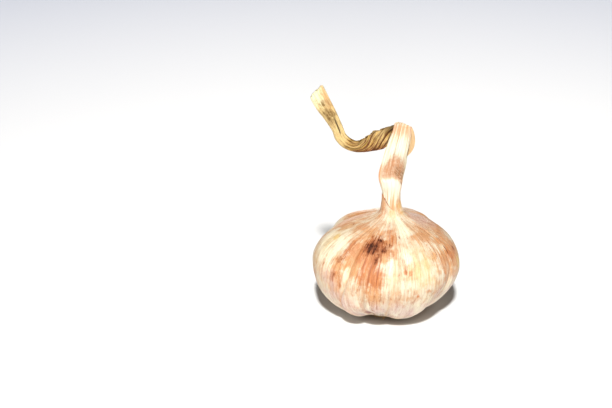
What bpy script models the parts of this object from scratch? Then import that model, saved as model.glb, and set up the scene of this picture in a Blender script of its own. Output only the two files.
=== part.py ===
"""A garlic bulb with its dry twisted stem and one dry leaf, standing on its root plate.

Units are metres, +Z is up. The origin is the centre of the root plate's flat underside, and
the bulb's best side faces -Y. The driving dimensions below are written in millimetres.
"""

import math

import bmesh
import bpy
from mathutils import Matrix, Vector

MM = 0.001
FIT_GAP = 0.3            # clearance between pieces that touch

# Root plate: the tan corky disc that the roots grew from.
PLATE_RADIUS = 9.0
PLATE_HEIGHT = 2.7
PLATE_EDGE = 0.7         # height of the chamfered lower edge
PLATE_STEPS = 48

# Bulb: half outline from the underside to the open neck, as (radius, height).
BULB_OUTLINE = (
    (9.6, 1.8), (12.5, 1.6), (17.0, 3.2), (22.6, 7.4), (26.9, 13.4), (28.8, 19.6),
    (28.2, 25.4), (25.2, 30.8), (20.4, 34.9), (15.2, 37.4), (10.4, 38.9), (7.0, 40.4),
    (5.0, 42.4), (4.5, 44.2),
)
BULB_AROUND = 90         # vertices around the bulb
BULB_RINGS = 34          # rings from the underside to the neck
BULB_DEPTH_RATIO = 0.94  # front-to-back size against side-to-side size
NECK_SHIFT = (1.6, 0.8)  # the neck leans off the bulb's axis by this much

# Lobes: (start azimuth low, start azimuth high, reach low, reach at mid height, reach high).
# Azimuth 0 is the front (-Y) and grows towards +X; each lobe ends where the next one starts.
LOBES = (
    (-100.0, -96.0, 1.05, 1.005, 1.00),
    (-61.0, -42.0, 1.10, 1.01, 0.99),
    (-26.0, -21.0, 0.97, 0.965, 0.91),
    (-2.0, 3.0, 0.98, 1.00, 1.00),
    (50.0, 44.0, 0.93, 0.98, 0.95),
    (90.0, 86.0, 0.93, 1.00, 0.93),
    (132.0, 128.0, 0.96, 0.98, 0.94),
    (174.0, 172.0, 0.98, 0.98, 0.97),
    (216.0, 219.0, 1.00, 0.99, 0.99),
)
EDGE_SLANT_HEIGHTS = (6.0, 26.0)   # the lobes' edges slant from low to high over this band
GROOVE_HEIGHTS = (1.4, 6.0, 14.0, 24.0, 33.0, 38.0, 42.0)
GROOVE_DEPTHS = (0.060, 0.090, 0.070, 0.055, 0.060, 0.040, 0.0)
LOBE_START_RADIUS = (10.0, 16.0)   # the lobes fade in between these radii on the underside
REACH_HEIGHTS = (4.0, 20.0, 34.0)  # where the low, mid and high reaches hold

# Stem: (x, y, z, width, thickness, twist in degrees) from its foot in the neck to the fold.
STEM_STATIONS = (
    (1.7, 0.8, 36.5, 6.2, 5.4, 0.0), (1.7, 0.8, 41.0, 6.6, 5.3, 0.0),
    (1.3, 0.8, 46.5, 6.9, 5.0, 4.0), (1.1, 0.8, 50.3, 7.5, 4.6, 14.0),
    (1.0, 0.9, 54.1, 8.5, 4.2, 26.0), (1.2, 1.0, 57.9, 9.0, 4.0, 24.0),
    (2.0, 1.0, 62.6, 9.1, 4.0, 8.0), (2.5, 1.1, 66.3, 8.8, 4.2, 0.0),
    (3.7, 1.4, 70.0, 8.6, 4.8, -6.0), (5.1, 2.0, 73.2, 8.9, 5.4, -10.0),
    (5.2, 2.4, 75.5, 7.8, 5.0, -10.0), (4.9, 2.6, 76.8, 5.8, 3.8, -10.0),
    (4.7, 2.7, 77.4, 2.8, 2.0, -10.0),
)
STEM_SIDES = 24
STEM_RINGS = 44

# Leaf: the same columns, from its root inside the fold, down through its sag, up to its tip.
LEAF_STATIONS = (
    (5.0, 2.6, 73.4, 3.6, 1.6, 0.0), (1.4, 3.6, 72.6, 7.0, 2.4, 0.0),
    (-4.2, 4.0, 70.2, 7.3, 2.8, 0.0), (-8.1, 4.0, 68.4, 5.8, 3.0, 0.0),
    (-12.0, 4.0, 68.2, 4.8, 3.0, 0.0), (-16.1, 4.0, 69.9, 5.1, 3.0, 0.0),
    (-18.4, 4.0, 72.4, 5.0, 2.8, 0.0), (-19.5, 4.0, 75.4, 5.0, 2.4, 0.0),
    (-22.1, 4.0, 80.9, 5.5, 2.2, 0.0), (-24.8, 4.0, 85.7, 6.0, 2.0, 0.0),
    (-27.4, 4.0, 90.2, 6.7, 1.6, 0.0),
)
LEAF_SIDES = 20
LEAF_RINGS = 50

SECTION_POWER = 2.4      # superellipse power of the stem's and the leaf's sections

SKIN_COLOUR = (0.87, 0.74, 0.58, 1.0)
CORK_COLOUR = (0.55, 0.38, 0.20, 1.0)
STEM_COLOUR = (0.88, 0.72, 0.50, 1.0)
LEAF_COLOUR = (0.45, 0.31, 0.13, 1.0)


def clear_scene():
    """Remove every object that the file holds."""
    for obj in list(bpy.data.objects):
        bpy.data.objects.remove(obj, do_unlink=True)


def new_collection(name, hidden=False):
    """Return a collection linked to the scene."""
    collection = bpy.data.collections.new(name)
    bpy.context.scene.collection.children.link(collection)
    collection.hide_render = hidden
    return collection


def new_material(name, colour, roughness):
    """Return a Principled material of one colour."""
    material = bpy.data.materials.new(name)
    material.use_nodes = True
    shader = material.node_tree.nodes["Principled BSDF"]
    shader.inputs["Base Color"].default_value = colour
    shader.inputs["Roughness"].default_value = roughness
    shader.inputs["Metallic"].default_value = 0.0
    material.diffuse_color = colour
    return material


def interpolate(value, places, results):
    """Return a value read from straight lines between (places, results)."""
    if value <= places[0]:
        return results[0]
    for start in range(len(places) - 1):
        if value <= places[start + 1]:
            share = (value - places[start]) / (places[start + 1] - places[start])
            return results[start] + share * (results[start + 1] - results[start])
    return results[-1]


def smooth_step(value, low, high):
    """Return 0 below low, 1 above high and an S-curve between them."""
    share = min(max((value - low) / (high - low), 0.0), 1.0)
    return share * share * (3.0 - 2.0 * share)


def smooth_rows(rows, count):
    """Return count rows read evenly from a Catmull-Rom curve through the given rows."""
    rows = [Vector(row) for row in rows]
    padded = [2 * rows[0] - rows[1], *rows, 2 * rows[-1] - rows[-2]]
    spans = len(rows) - 1
    result = []
    for index in range(count):
        place = index / (count - 1) * spans
        span = min(int(place), spans - 1)
        t = place - span
        before, start, end, after = padded[span:span + 4]
        result.append(0.5 * (
            2 * start
            + (end - before) * t
            + (2 * before - 5 * start + 4 * end - after) * t ** 2
            + (3 * start - before - 3 * end + after) * t ** 3
        ))
    return result


def link_mesh(name, mesh_data, material, collection):
    """Write a bmesh to a new smooth-shaded object."""
    mesh = bpy.data.meshes.new(name)
    bmesh.ops.recalc_face_normals(mesh_data, faces=mesh_data.faces)
    mesh_data.to_mesh(mesh)
    mesh_data.free()
    obj = bpy.data.objects.new(name, mesh)
    collection.objects.link(obj)
    if material is not None:
        mesh.materials.append(material)
    mesh.shade_smooth()
    mesh.set_sharp_from_angle(angle=math.radians(50))
    return obj


def cut(obj, cutter):
    """Cut an object with a closed cutter."""
    boolean = obj.modifiers.new("cut_" + cutter.name, "BOOLEAN")
    boolean.operation = "DIFFERENCE"
    boolean.solver = "EXACT"
    boolean.object = cutter


def mark_cutter(obj):
    """Show a cutter as a wire guide only."""
    obj.hide_render = True
    obj.display_type = "WIRE"


def lobe_factor(azimuth, height):
    """Return the radius factor of the lobed skin at an azimuth in degrees and a height."""
    slant = smooth_step(height, *EDGE_SLANT_HEIGHTS)
    starts = [lobe[0] + (lobe[1] - lobe[0]) * slant for lobe in LOBES]
    starts.append(starts[0] + 360.0)
    azimuth = (azimuth - starts[0]) % 360.0 + starts[0]
    index = max(i for i in range(len(LOBES)) if starts[i] <= azimuth)
    share = (azimuth - starts[index]) / (starts[index + 1] - starts[index])
    arch = max(1.0 - (2.0 * share - 1.0) ** 2, 0.0)
    groove = interpolate(height, GROOVE_HEIGHTS, GROOVE_DEPTHS)
    reach = interpolate(height, REACH_HEIGHTS, LOBES[index][2:])
    return 1.0 - groove * (1.0 - math.sqrt(arch)) + (reach - 1.0) * arch ** 0.35


def skin_point(radius, height, azimuth):
    """Return a point of the bulb's skin in millimetres."""
    rising = height > REACH_HEIGHTS[1]
    fade_in = smooth_step(radius, 4.5, 12.0) if rising else smooth_step(radius, *LOBE_START_RADIUS)
    factor = 1.0 + (lobe_factor(azimuth, height) - 1.0) * fade_in
    lean = smooth_step(height, 20.0, 44.0)
    angle = math.radians(azimuth - 90.0)
    depth_ratio = 1.0 + (BULB_DEPTH_RATIO - 1.0) * smooth_step(radius, 8.0, 20.0)
    x = radius * factor * math.cos(angle) + NECK_SHIFT[0] * lean
    y = radius * factor * math.sin(angle) * depth_ratio + NECK_SHIFT[1] * lean
    return Vector((x, y, height))


def make_bulb(material, collection):
    """Model the lobed bulb by reshaping a sphere ring by ring."""
    outline = smooth_rows(BULB_OUTLINE, BULB_RINGS)
    data = bmesh.new()
    bmesh.ops.create_uvsphere(
        data, u_segments=BULB_AROUND, v_segments=BULB_RINGS + 1, radius=1.0
    )
    for vertex in data.verts:
        polar = math.acos(max(-1.0, min(1.0, -vertex.co.z)))
        ring = round(polar / math.pi * (BULB_RINGS + 1)) - 1
        if ring < 0:
            vertex.co = Vector((0.0, 0.0, outline[0].y)) * MM
        elif ring >= BULB_RINGS:
            vertex.co = Vector((*NECK_SHIFT, outline[-1].y)) * MM
        else:
            azimuth = math.degrees(math.atan2(vertex.co.y, vertex.co.x)) + 90.0
            vertex.co = skin_point(outline[ring].x, outline[ring].y, azimuth) * MM
    return link_mesh("bulb", data, material, collection)


def section(width, thickness, sides):
    """Return the points of one rounded flat section around the origin."""
    points = []
    for side in range(sides):
        angle = 2.0 * math.pi * side / sides
        across = math.copysign(abs(math.cos(angle)) ** (2.0 / SECTION_POWER), math.cos(angle))
        through = math.copysign(abs(math.sin(angle)) ** (2.0 / SECTION_POWER), math.sin(angle))
        points.append((across * width / 2.0, through * thickness / 2.0))
    return points


def make_ribbon(name, stations, sides, rings, grow, material, collection):
    """Loft a closed flattened ribbon through its stations, grown by an all-round margin."""
    rows = smooth_rows(stations, rings)
    places = [Vector(row[:3]) for row in rows]
    data = bmesh.new()
    loops = []
    for index, row in enumerate(rows):
        ahead = places[min(index + 1, rings - 1)] - places[max(index - 1, 0)]
        tangent = ahead.normalized()
        across = Vector((0.0, 1.0, 0.0)).cross(tangent).normalized()
        turn = Matrix.Rotation(math.radians(row[5]), 3, tangent)
        across = turn @ across
        through = tangent.cross(across)
        centre = places[index]
        if index == 0:
            centre = centre - tangent * grow
        elif index == rings - 1:
            centre = centre + tangent * grow
        outline = section(row[3] + 2.0 * grow, row[4] + 2.0 * grow, sides)
        loops.append([
            data.verts.new((centre + across * a + through * b) * MM) for a, b in outline
        ])
    for lower, upper in zip(loops, loops[1:]):
        for side in range(sides):
            following = (side + 1) % sides
            data.faces.new((lower[side], lower[following], upper[following], upper[side]))
    data.faces.new(reversed(loops[0]))
    data.faces.new(loops[-1])
    return link_mesh(name, data, material, collection)


def make_root_plate(material, collection):
    """Turn the root plate from its half profile."""
    radius = PLATE_RADIUS * MM
    height = PLATE_HEIGHT * MM
    edge = PLATE_EDGE * MM
    profile = [
        (0.0, height), (radius - edge, height), (radius, height - edge),
        (radius, edge), (radius - edge, 0.0), (0.0, 0.0),
    ]
    mesh = bpy.data.meshes.new("root_plate")
    edges = [(i, i + 1) for i in range(len(profile) - 1)]
    mesh.from_pydata([(x, 0.0, z) for x, z in profile], edges, [])
    obj = bpy.data.objects.new("root_plate", mesh)
    collection.objects.link(obj)
    mesh.materials.append(material)
    screw = obj.modifiers.new("turned", "SCREW")
    screw.axis = "Z"
    screw.angle = 2.0 * math.pi
    screw.steps = PLATE_STEPS
    screw.render_steps = PLATE_STEPS
    screw.use_merge_vertices = True
    screw.merge_threshold = 0.00001
    screw.use_normal_calculate = True
    return obj


def make_plate_recess(collection):
    """Make the cutter for the hollow that the root plate sits in."""
    data = bmesh.new()
    depth = PLATE_HEIGHT + FIT_GAP
    below = 2.0
    bmesh.ops.create_cone(
        data, cap_ends=True, segments=PLATE_STEPS,
        radius1=(PLATE_RADIUS + FIT_GAP) * MM, radius2=(PLATE_RADIUS + FIT_GAP) * MM,
        depth=(depth + below) * MM,
    )
    bmesh.ops.translate(data, verts=data.verts, vec=(0.0, 0.0, (depth - below) / 2.0 * MM))
    obj = link_mesh("plate_recess", data, None, collection)
    mark_cutter(obj)
    return obj


def main():
    """Build the four pieces of the garlic bulb."""
    clear_scene()
    pieces = new_collection("garlic_bulb")
    cutters = new_collection("garlic_bulb_cutters", hidden=True)

    skin = new_material("bulb_skin", SKIN_COLOUR, 0.50)
    cork = new_material("root_cork", CORK_COLOUR, 0.90)
    dry_stem = new_material("dry_stem", STEM_COLOUR, 0.60)
    dry_leaf = new_material("dry_leaf", LEAF_COLOUR, 0.70)

    recess = make_plate_recess(cutters)
    clearance = make_ribbon(
        "stem_clearance", STEM_STATIONS, STEM_SIDES, STEM_RINGS, FIT_GAP, None, cutters
    )
    mark_cutter(clearance)

    make_root_plate(cork, pieces)
    bulb = make_bulb(skin, pieces)
    cut(bulb, recess)
    cut(bulb, clearance)
    make_ribbon("stem", STEM_STATIONS, STEM_SIDES, STEM_RINGS, 0.0, dry_stem, pieces)
    leaf = make_ribbon("leaf", LEAF_STATIONS, LEAF_SIDES, LEAF_RINGS, 0.0, dry_leaf, pieces)
    cut(leaf, clearance)


main()
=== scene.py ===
"""Looks of a garlic bulb with a dry twisted stem and one dry leaf, on a pale studio floor.

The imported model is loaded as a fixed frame. Each of its four plain solids is replaced by a
finely modelled piece in the same place, with procedural finishes. Forms are worked out in
millimetres and written to the meshes in metres. Azimuth 0 is the bulb's front (-Y) and grows
towards +X.
"""

import logging
import math
from dataclasses import dataclass
from enum import Enum

import bpy
import numpy as np
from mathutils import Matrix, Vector


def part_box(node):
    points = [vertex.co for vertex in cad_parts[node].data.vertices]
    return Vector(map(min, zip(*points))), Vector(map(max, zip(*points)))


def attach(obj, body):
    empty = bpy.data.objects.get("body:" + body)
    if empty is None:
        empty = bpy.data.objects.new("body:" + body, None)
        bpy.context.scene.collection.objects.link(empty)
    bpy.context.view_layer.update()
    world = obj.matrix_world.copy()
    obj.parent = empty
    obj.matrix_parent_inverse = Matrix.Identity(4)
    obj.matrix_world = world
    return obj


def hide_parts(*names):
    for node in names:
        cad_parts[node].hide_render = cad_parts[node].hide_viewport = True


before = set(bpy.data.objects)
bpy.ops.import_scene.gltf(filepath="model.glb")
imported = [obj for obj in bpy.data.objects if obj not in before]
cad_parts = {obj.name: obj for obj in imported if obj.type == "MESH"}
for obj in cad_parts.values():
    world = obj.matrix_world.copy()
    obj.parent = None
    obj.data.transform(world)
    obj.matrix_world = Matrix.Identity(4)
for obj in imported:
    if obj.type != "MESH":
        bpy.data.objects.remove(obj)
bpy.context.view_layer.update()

MM = 0.001
BODY = "root"
# How bright a surface that faces the key light shows, against its own colour.
KEY_GAIN = 2.1
WHITE = (1.0, 1.0, 1.0, 1.0)
FLOAT, VECTOR = "NodeSocketFloat", "NodeSocketVector"

Socket = bpy.types.NodeSocket
Pair = tuple[float, float]
Triple = tuple[float, float, float]
Colour = tuple[float, float, float, float]
Rows = tuple[tuple[float, ...], ...]
Source = Socket | float | Colour

log = logging.getLogger("garlic")


# ----------------------------------------------------------------------------------------------
# Number helpers


def smooth_step(value: np.ndarray, low: float, high: float) -> np.ndarray:
    """Step smoothly from 0 to 1.

    Args:
        value: Values to judge.
        low: Where the step starts.
        high: Where the step ends, which may lie below its start.

    Returns:
        0 before the start, 1 past the end and an S-curve between them.
    """
    share = np.clip((np.asarray(value, float) - low) / (high - low), 0.0, 1.0)
    return share * share * (3.0 - 2.0 * share)


def bump(value: np.ndarray, centre: float, spread: float) -> np.ndarray:
    """Draw a bell of height 1.

    Args:
        value: Values to judge.
        centre: Where the bell is highest.
        spread: How far from there it has fallen to about a third.

    Returns:
        The bell's height at each value.
    """
    return np.exp(-(((np.asarray(value, float) - centre) / spread) ** 2))


def turn_gap(azimuth: np.ndarray, centre: float) -> np.ndarray:
    """Measure how far round from a centre some azimuths are.

    Args:
        azimuth: Azimuths in degrees.
        centre: The azimuth to measure from.

    Returns:
        Signed angles in degrees, between -180 and 180.
    """
    return (azimuth - centre + 180.0) % 360.0 - 180.0


def smooth_rows(rows: tuple, count: int) -> np.ndarray:
    """Read rows evenly from a Catmull-Rom curve.

    Args:
        rows: Rows of numbers that the curve passes through.
        count: How many rows to read.

    Returns:
        An array with one row for each place read.
    """
    points = np.array(rows, float)
    padded = np.vstack([2 * points[0] - points[1], points, 2 * points[-1] - points[-2]])
    place = np.linspace(0.0, len(points) - 1.0, count)
    span = np.minimum(place.astype(int), len(points) - 2)
    t = (place - span)[:, None]
    before, start, end, after = (padded[span + step] for step in range(4))
    return 0.5 * (
        2 * start
        + (end - before) * t
        + (2 * before - 5 * start + 4 * end - after) * t ** 2
        + (3 * start - before - 3 * end + after) * t ** 3
    )


def even_rows(rows: np.ndarray, count: int, columns: int) -> np.ndarray:
    """Re-read a row curve at even arc lengths.

    Args:
        rows: Rows along the curve.
        count: How many rows to return.
        columns: How many leading columns are coordinates.

    Returns:
        Rows at even distances along the curve.
    """
    steps = np.linalg.norm(np.diff(rows[:, :columns], axis=0), axis=1)
    travelled = np.concatenate([[0.0], np.cumsum(steps)])
    places = np.linspace(0.0, travelled[-1], count)
    return np.stack([np.interp(places, travelled, rows[:, k]) for k in range(rows.shape[1])], -1)


@dataclass(frozen=True)
class Ripples:
    """Irregular lengthwise ripples that close up after a full turn.

    Attributes:
        seed: Seed of the random waves.
        fewest: Fewest ripples in a turn.
        most: Most ripples in a turn.
        waves: How many waves are added.
        drift: How far the waves wander sideways from foot to top, in radians.
    """

    seed: int
    fewest: int
    most: int
    waves: int = 20
    drift: float = 1.0

    def heights(self, turn: np.ndarray, along: np.ndarray) -> np.ndarray:
        """Add the waves up.

        Args:
            turn: Angle round the piece in radians.
            along: Place along the piece, 0 to 1.

        Returns:
            Heights of about -1 to 1.
        """
        draw = np.random.default_rng(self.seed)
        total = np.zeros(np.broadcast(turn, along).shape)
        for _ in range(self.waves):
            count = draw.integers(self.fewest, self.most)
            phase, swell = draw.uniform(0.0, 2.0 * math.pi, 2)
            wander = draw.normal(0.0, self.drift)
            rate = draw.uniform(3.0, 9.0)
            strength = 0.6 + 0.4 * np.cos(rate * along + swell)
            total += strength * np.cos(count * turn + phase + wander * np.sin(2.5 * along))
        return total / math.sqrt(self.waves)


# ----------------------------------------------------------------------------------------------
# Mesh helpers


def closed_grid(name: str, points: np.ndarray, layers: dict[str, np.ndarray]) -> bpy.types.Object:
    """Build a closed tube from rings of points, with a fan at each end.

    Args:
        name: Name of the new object.
        points: Array of rings, ring points and x, y, z in millimetres. Each ring runs
            anticlockwise about the direction from the first ring to the last.
        layers: Point attributes to store, each an array of rings and ring points, with a third
            axis of 3 for vectors.

    Returns:
        The new object, smooth shaded, with a bake map that doesn't overlap.
    """
    rings, sides = points.shape[:2]
    grid = np.arange(rings * sides).reshape(rings, sides)
    following = np.roll(grid, -1, axis=1)
    quads = np.stack([grid[:-1], following[:-1], following[1:], grid[1:]], -1).reshape(-1, 4)
    foot, top = rings * sides, rings * sides + 1
    foot_fan = np.stack([following[0], grid[0], np.full(sides, foot)], -1)
    top_fan = np.stack([grid[-1], following[-1], np.full(sides, top)], -1)
    ends = np.stack([points[0].mean(0), points[-1].mean(0)])
    vertices = np.vstack([points.reshape(-1, 3), ends]) * MM

    mesh = bpy.data.meshes.new(name)
    mesh.from_pydata(vertices.tolist(), [], quads.tolist() + foot_fan.tolist() + top_fan.tolist())
    write_bake_map(mesh, rings, sides)
    for layer, values in layers.items():
        write_layer(mesh, layer, values)
    mesh.shade_smooth()
    piece = bpy.data.objects.new(name, mesh)
    bpy.context.scene.collection.objects.link(piece)
    return piece


def write_bake_map(mesh: bpy.types.Mesh, rings: int, sides: int) -> None:
    """Give a closed grid a map: the side as one sheet and the end fans as two small discs.

    Args:
        mesh: The grid's mesh, with its quads first, then the foot's fan and the top's.
        rings: How many rings it has.
        sides: How many points each ring has.
    """
    sheet_height, disc = 0.92, 0.03
    foot_centre, top_centre = (0.1, 0.96), (0.3, 0.96)
    column, row = np.meshgrid(np.arange(sides), np.arange(rings - 1))
    left, right = column / sides, (column + 1) / sides
    low, high = row / (rings - 1) * sheet_height, (row + 1) / (rings - 1) * sheet_height
    corners = [(left, low), (right, low), (right, high), (left, high)]
    side_map = np.stack([np.stack(corner, -1) for corner in corners], 2).reshape(-1, 2)
    turn = 2.0 * math.pi * np.arange(sides + 1) / sides
    fans = []
    for centre, flip in ((foot_centre, True), (top_centre, False)):
        rim = np.stack([centre[0] + disc * np.cos(turn), centre[1] + disc * np.sin(turn)], -1)
        first, second = (rim[1:], rim[:-1]) if flip else (rim[:-1], rim[1:])
        middle = np.broadcast_to(centre, first.shape)
        fans.append(np.stack([first, second, middle], 1).reshape(-1, 2))
    layer = mesh.uv_layers.new(name="OFBake")
    layer.uv.foreach_set("vector", np.vstack([side_map, *fans]).astype(np.float32).ravel())


def write_layer(mesh: bpy.types.Mesh, name: str, values: np.ndarray) -> None:
    """Store a point attribute of a closed grid, with its end points averaged.

    Args:
        mesh: The grid's mesh.
        name: Name of the attribute.
        values: Its values, ring by ring, with a third axis of 3 for vectors.
    """
    if values.ndim == 3:
        ends = np.stack([values[0].mean(0), values[-1].mean(0)])
        data = np.vstack([values.reshape(-1, 3), ends])
        layer = mesh.attributes.new(name, "FLOAT_VECTOR", "POINT")
        layer.data.foreach_set("vector", data.astype(np.float32).ravel())
    else:
        data = np.concatenate([values.ravel(), [values[0].mean(), values[-1].mean()]])
        layer = mesh.attributes.new(name, "FLOAT", "POINT")
        layer.data.foreach_set("value", data.astype(np.float32))


def carried_frames(centres: np.ndarray, across: Vector) -> tuple[np.ndarray, np.ndarray]:
    """Carry a cross-section's axes along a path without needless twist.

    Args:
        centres: Points along the path.
        across: Direction of the section's width at the first point.

    Returns:
        The tangents and the width directions, one for each point.
    """
    tangents = np.gradient(centres, axis=0)
    tangents /= np.linalg.norm(tangents, axis=1)[:, None]
    widths = np.empty_like(tangents)
    current = np.array(across, float)
    for index, tangent in enumerate(tangents):
        current = current - tangent * current.dot(tangent)
        current /= np.linalg.norm(current)
        widths[index] = current
    return tangents, widths


# ----------------------------------------------------------------------------------------------
# Shader helpers


def tone(red: int, green: int, blue: int) -> tuple[float, float, float, float]:
    """Turn the colour that a surface shows facing the key light into a shader colour.

    Args:
        red: Red as shown on a display, 0 to 255, or more where it burns out to white.
        green: Green in the same way.
        blue: Blue in the same way.

    Returns:
        The linear colour of the surface itself, with alpha.
    """
    shares = [part / 255.0 for part in (red, green, blue)]
    return (*[((share + 0.055) / 1.055) ** 2.4 / KEY_GAIN for share in shares], 1.0)


class Graph:
    """Draws the nodes of one material or node group.

    Attributes:
        tree: The node tree that it draws in.
    """

    def __init__(self, tree: bpy.types.NodeTree) -> None:
        """Start drawing in a node tree."""
        self.tree = tree

    def node(self, kind: str, **settings: object) -> bpy.types.Node:
        """Add a node and set its properties.

        Args:
            kind: The kind of node.
            **settings: Property name to value.

        Returns:
            The new node.
        """
        made = self.tree.nodes.new(kind)
        for name, value in settings.items():
            setattr(made, name, value)
        return made

    def feed(self, target: Socket, source: Source) -> None:
        """Link an output to an input, or set the input to a number or colour.

        Args:
            target: The input.
            source: An output, a number or a colour.
        """
        if isinstance(source, Socket):
            self.tree.links.new(source, target)
        else:
            target.default_value = source

    def math(self, operation: str, first: Source, second: Source) -> Socket:
        """Add a Math node, clamped to 0 and 1.

        Args:
            operation: What it works out, such as MULTIPLY.
            first: Its first value.
            second: Its second value.

        Returns:
            The clamped result.
        """
        made = self.node("ShaderNodeMath", operation=operation, use_clamp=True)
        self.feed(made.inputs[0], first)
        self.feed(made.inputs[1], second)
        return made.outputs[0]

    def free_math(self, operation: str, first: Source, second: Source = 0.0) -> Socket:
        """Add a Math node that isn't clamped.

        Args:
            operation: What it works out, such as SUBTRACT.
            first: Its first value.
            second: Its second value, where the operation has one.

        Returns:
            The result.
        """
        made = self.node("ShaderNodeMath", operation=operation)
        self.feed(made.inputs[0], first)
        self.feed(made.inputs[1], second)
        return made.outputs[0]

    def sum(self, *parts: tuple[Source, float]) -> Socket:
        """Add values up, each times its own weight.

        Args:
            *parts: Pairs of a value and its weight.

        Returns:
            The total, not clamped.
        """
        total = 0.0
        for value, weight in parts:
            made = self.node("ShaderNodeMath", operation="MULTIPLY_ADD")
            self.feed(made.inputs[0], value)
            self.feed(made.inputs[1], weight)
            self.feed(made.inputs[2], total)
            total = made.outputs[0]
        return total

    def step(self, value: Source, low: Source, high: Source) -> Socket:
        """Add a smooth step from 0 to 1.

        Args:
            value: The value to judge.
            low: Where the step starts.
            high: Where it ends.

        Returns:
            0 before the start, 1 past the end and an S-curve between them.
        """
        made = self.node("ShaderNodeMapRange", interpolation_type="SMOOTHSTEP")
        self.feed(made.inputs["Value"], value)
        self.feed(made.inputs["From Min"], low)
        self.feed(made.inputs["From Max"], high)
        return made.outputs["Result"]

    def mix(self, share: Source, first: Source, second: Source) -> Socket:
        """Mix two colours.

        Args:
            share: How much of the second colour shows, 0 to 1.
            first: The first colour.
            second: The second colour.

        Returns:
            The mixed colour.
        """
        made = self.node("ShaderNodeMix", data_type="RGBA")
        self.feed(made.inputs["Factor"], share)
        self.feed(made.inputs["A"], first)
        self.feed(made.inputs["B"], second)
        return made.outputs["Result"]

    def lay(self, base: Source, paint: Colour, window: Pair,
            *parts: tuple[Source, float]) -> Socket:
        """Lay a paint over a base colour where weighted masks add up past a window of values."""
        return self.mix(self.step(self.sum(*parts), *window), base, paint)

    def wash(self, base: Source, paint: Colour, mask: Source, strength: float) -> Socket:
        """Lay a paint over a base colour where a mask is, as thinly as a strength says."""
        return self.mix(self.math("MULTIPLY", mask, strength), base, paint)

    def noise(self, vector: Source, scale: Source, detail: float = 4.0,
              roughness: float = 0.55) -> Socket:
        """Add a noise texture.

        Args:
            vector: The coordinates that it reads.
            scale: How fine it is.
            detail: How many finer layers it has.
            roughness: How strong the finer layers are.

        Returns:
            The noise value, 0 to 1.
        """
        made = self.node("ShaderNodeTexNoise")
        self.feed(made.inputs["Vector"], vector)
        self.feed(made.inputs["Scale"], scale)
        made.inputs["Detail"].default_value = detail
        made.inputs["Roughness"].default_value = roughness
        return made.outputs["Fac"]

    def layer(self, name: str, vector: bool = False) -> Socket:
        """Read a point attribute of the mesh."""
        made = self.node("ShaderNodeAttribute", attribute_name=name)
        return made.outputs["Vector" if vector else "Fac"]


def new_group(name: str, inputs: dict[str, tuple[str, object]],
              outputs: dict[str, str]) -> tuple[bpy.types.NodeTree, Graph]:
    """Start a shader node group with named sockets.

    Args:
        name: Name of the group.
        inputs: Socket name to its type and default value.
        outputs: Socket name to its type.

    Returns:
        The group's tree and a graph that draws in it.
    """
    tree = bpy.data.node_groups.new(name, "ShaderNodeTree")
    for socket, (kind, value) in inputs.items():
        made = tree.interface.new_socket(name=socket, in_out="INPUT", socket_type=kind)
        if value is not None:
            made.default_value = value
    for socket, kind in outputs.items():
        tree.interface.new_socket(name=socket, in_out="OUTPUT", socket_type=kind)
    return tree, Graph(tree)


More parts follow.
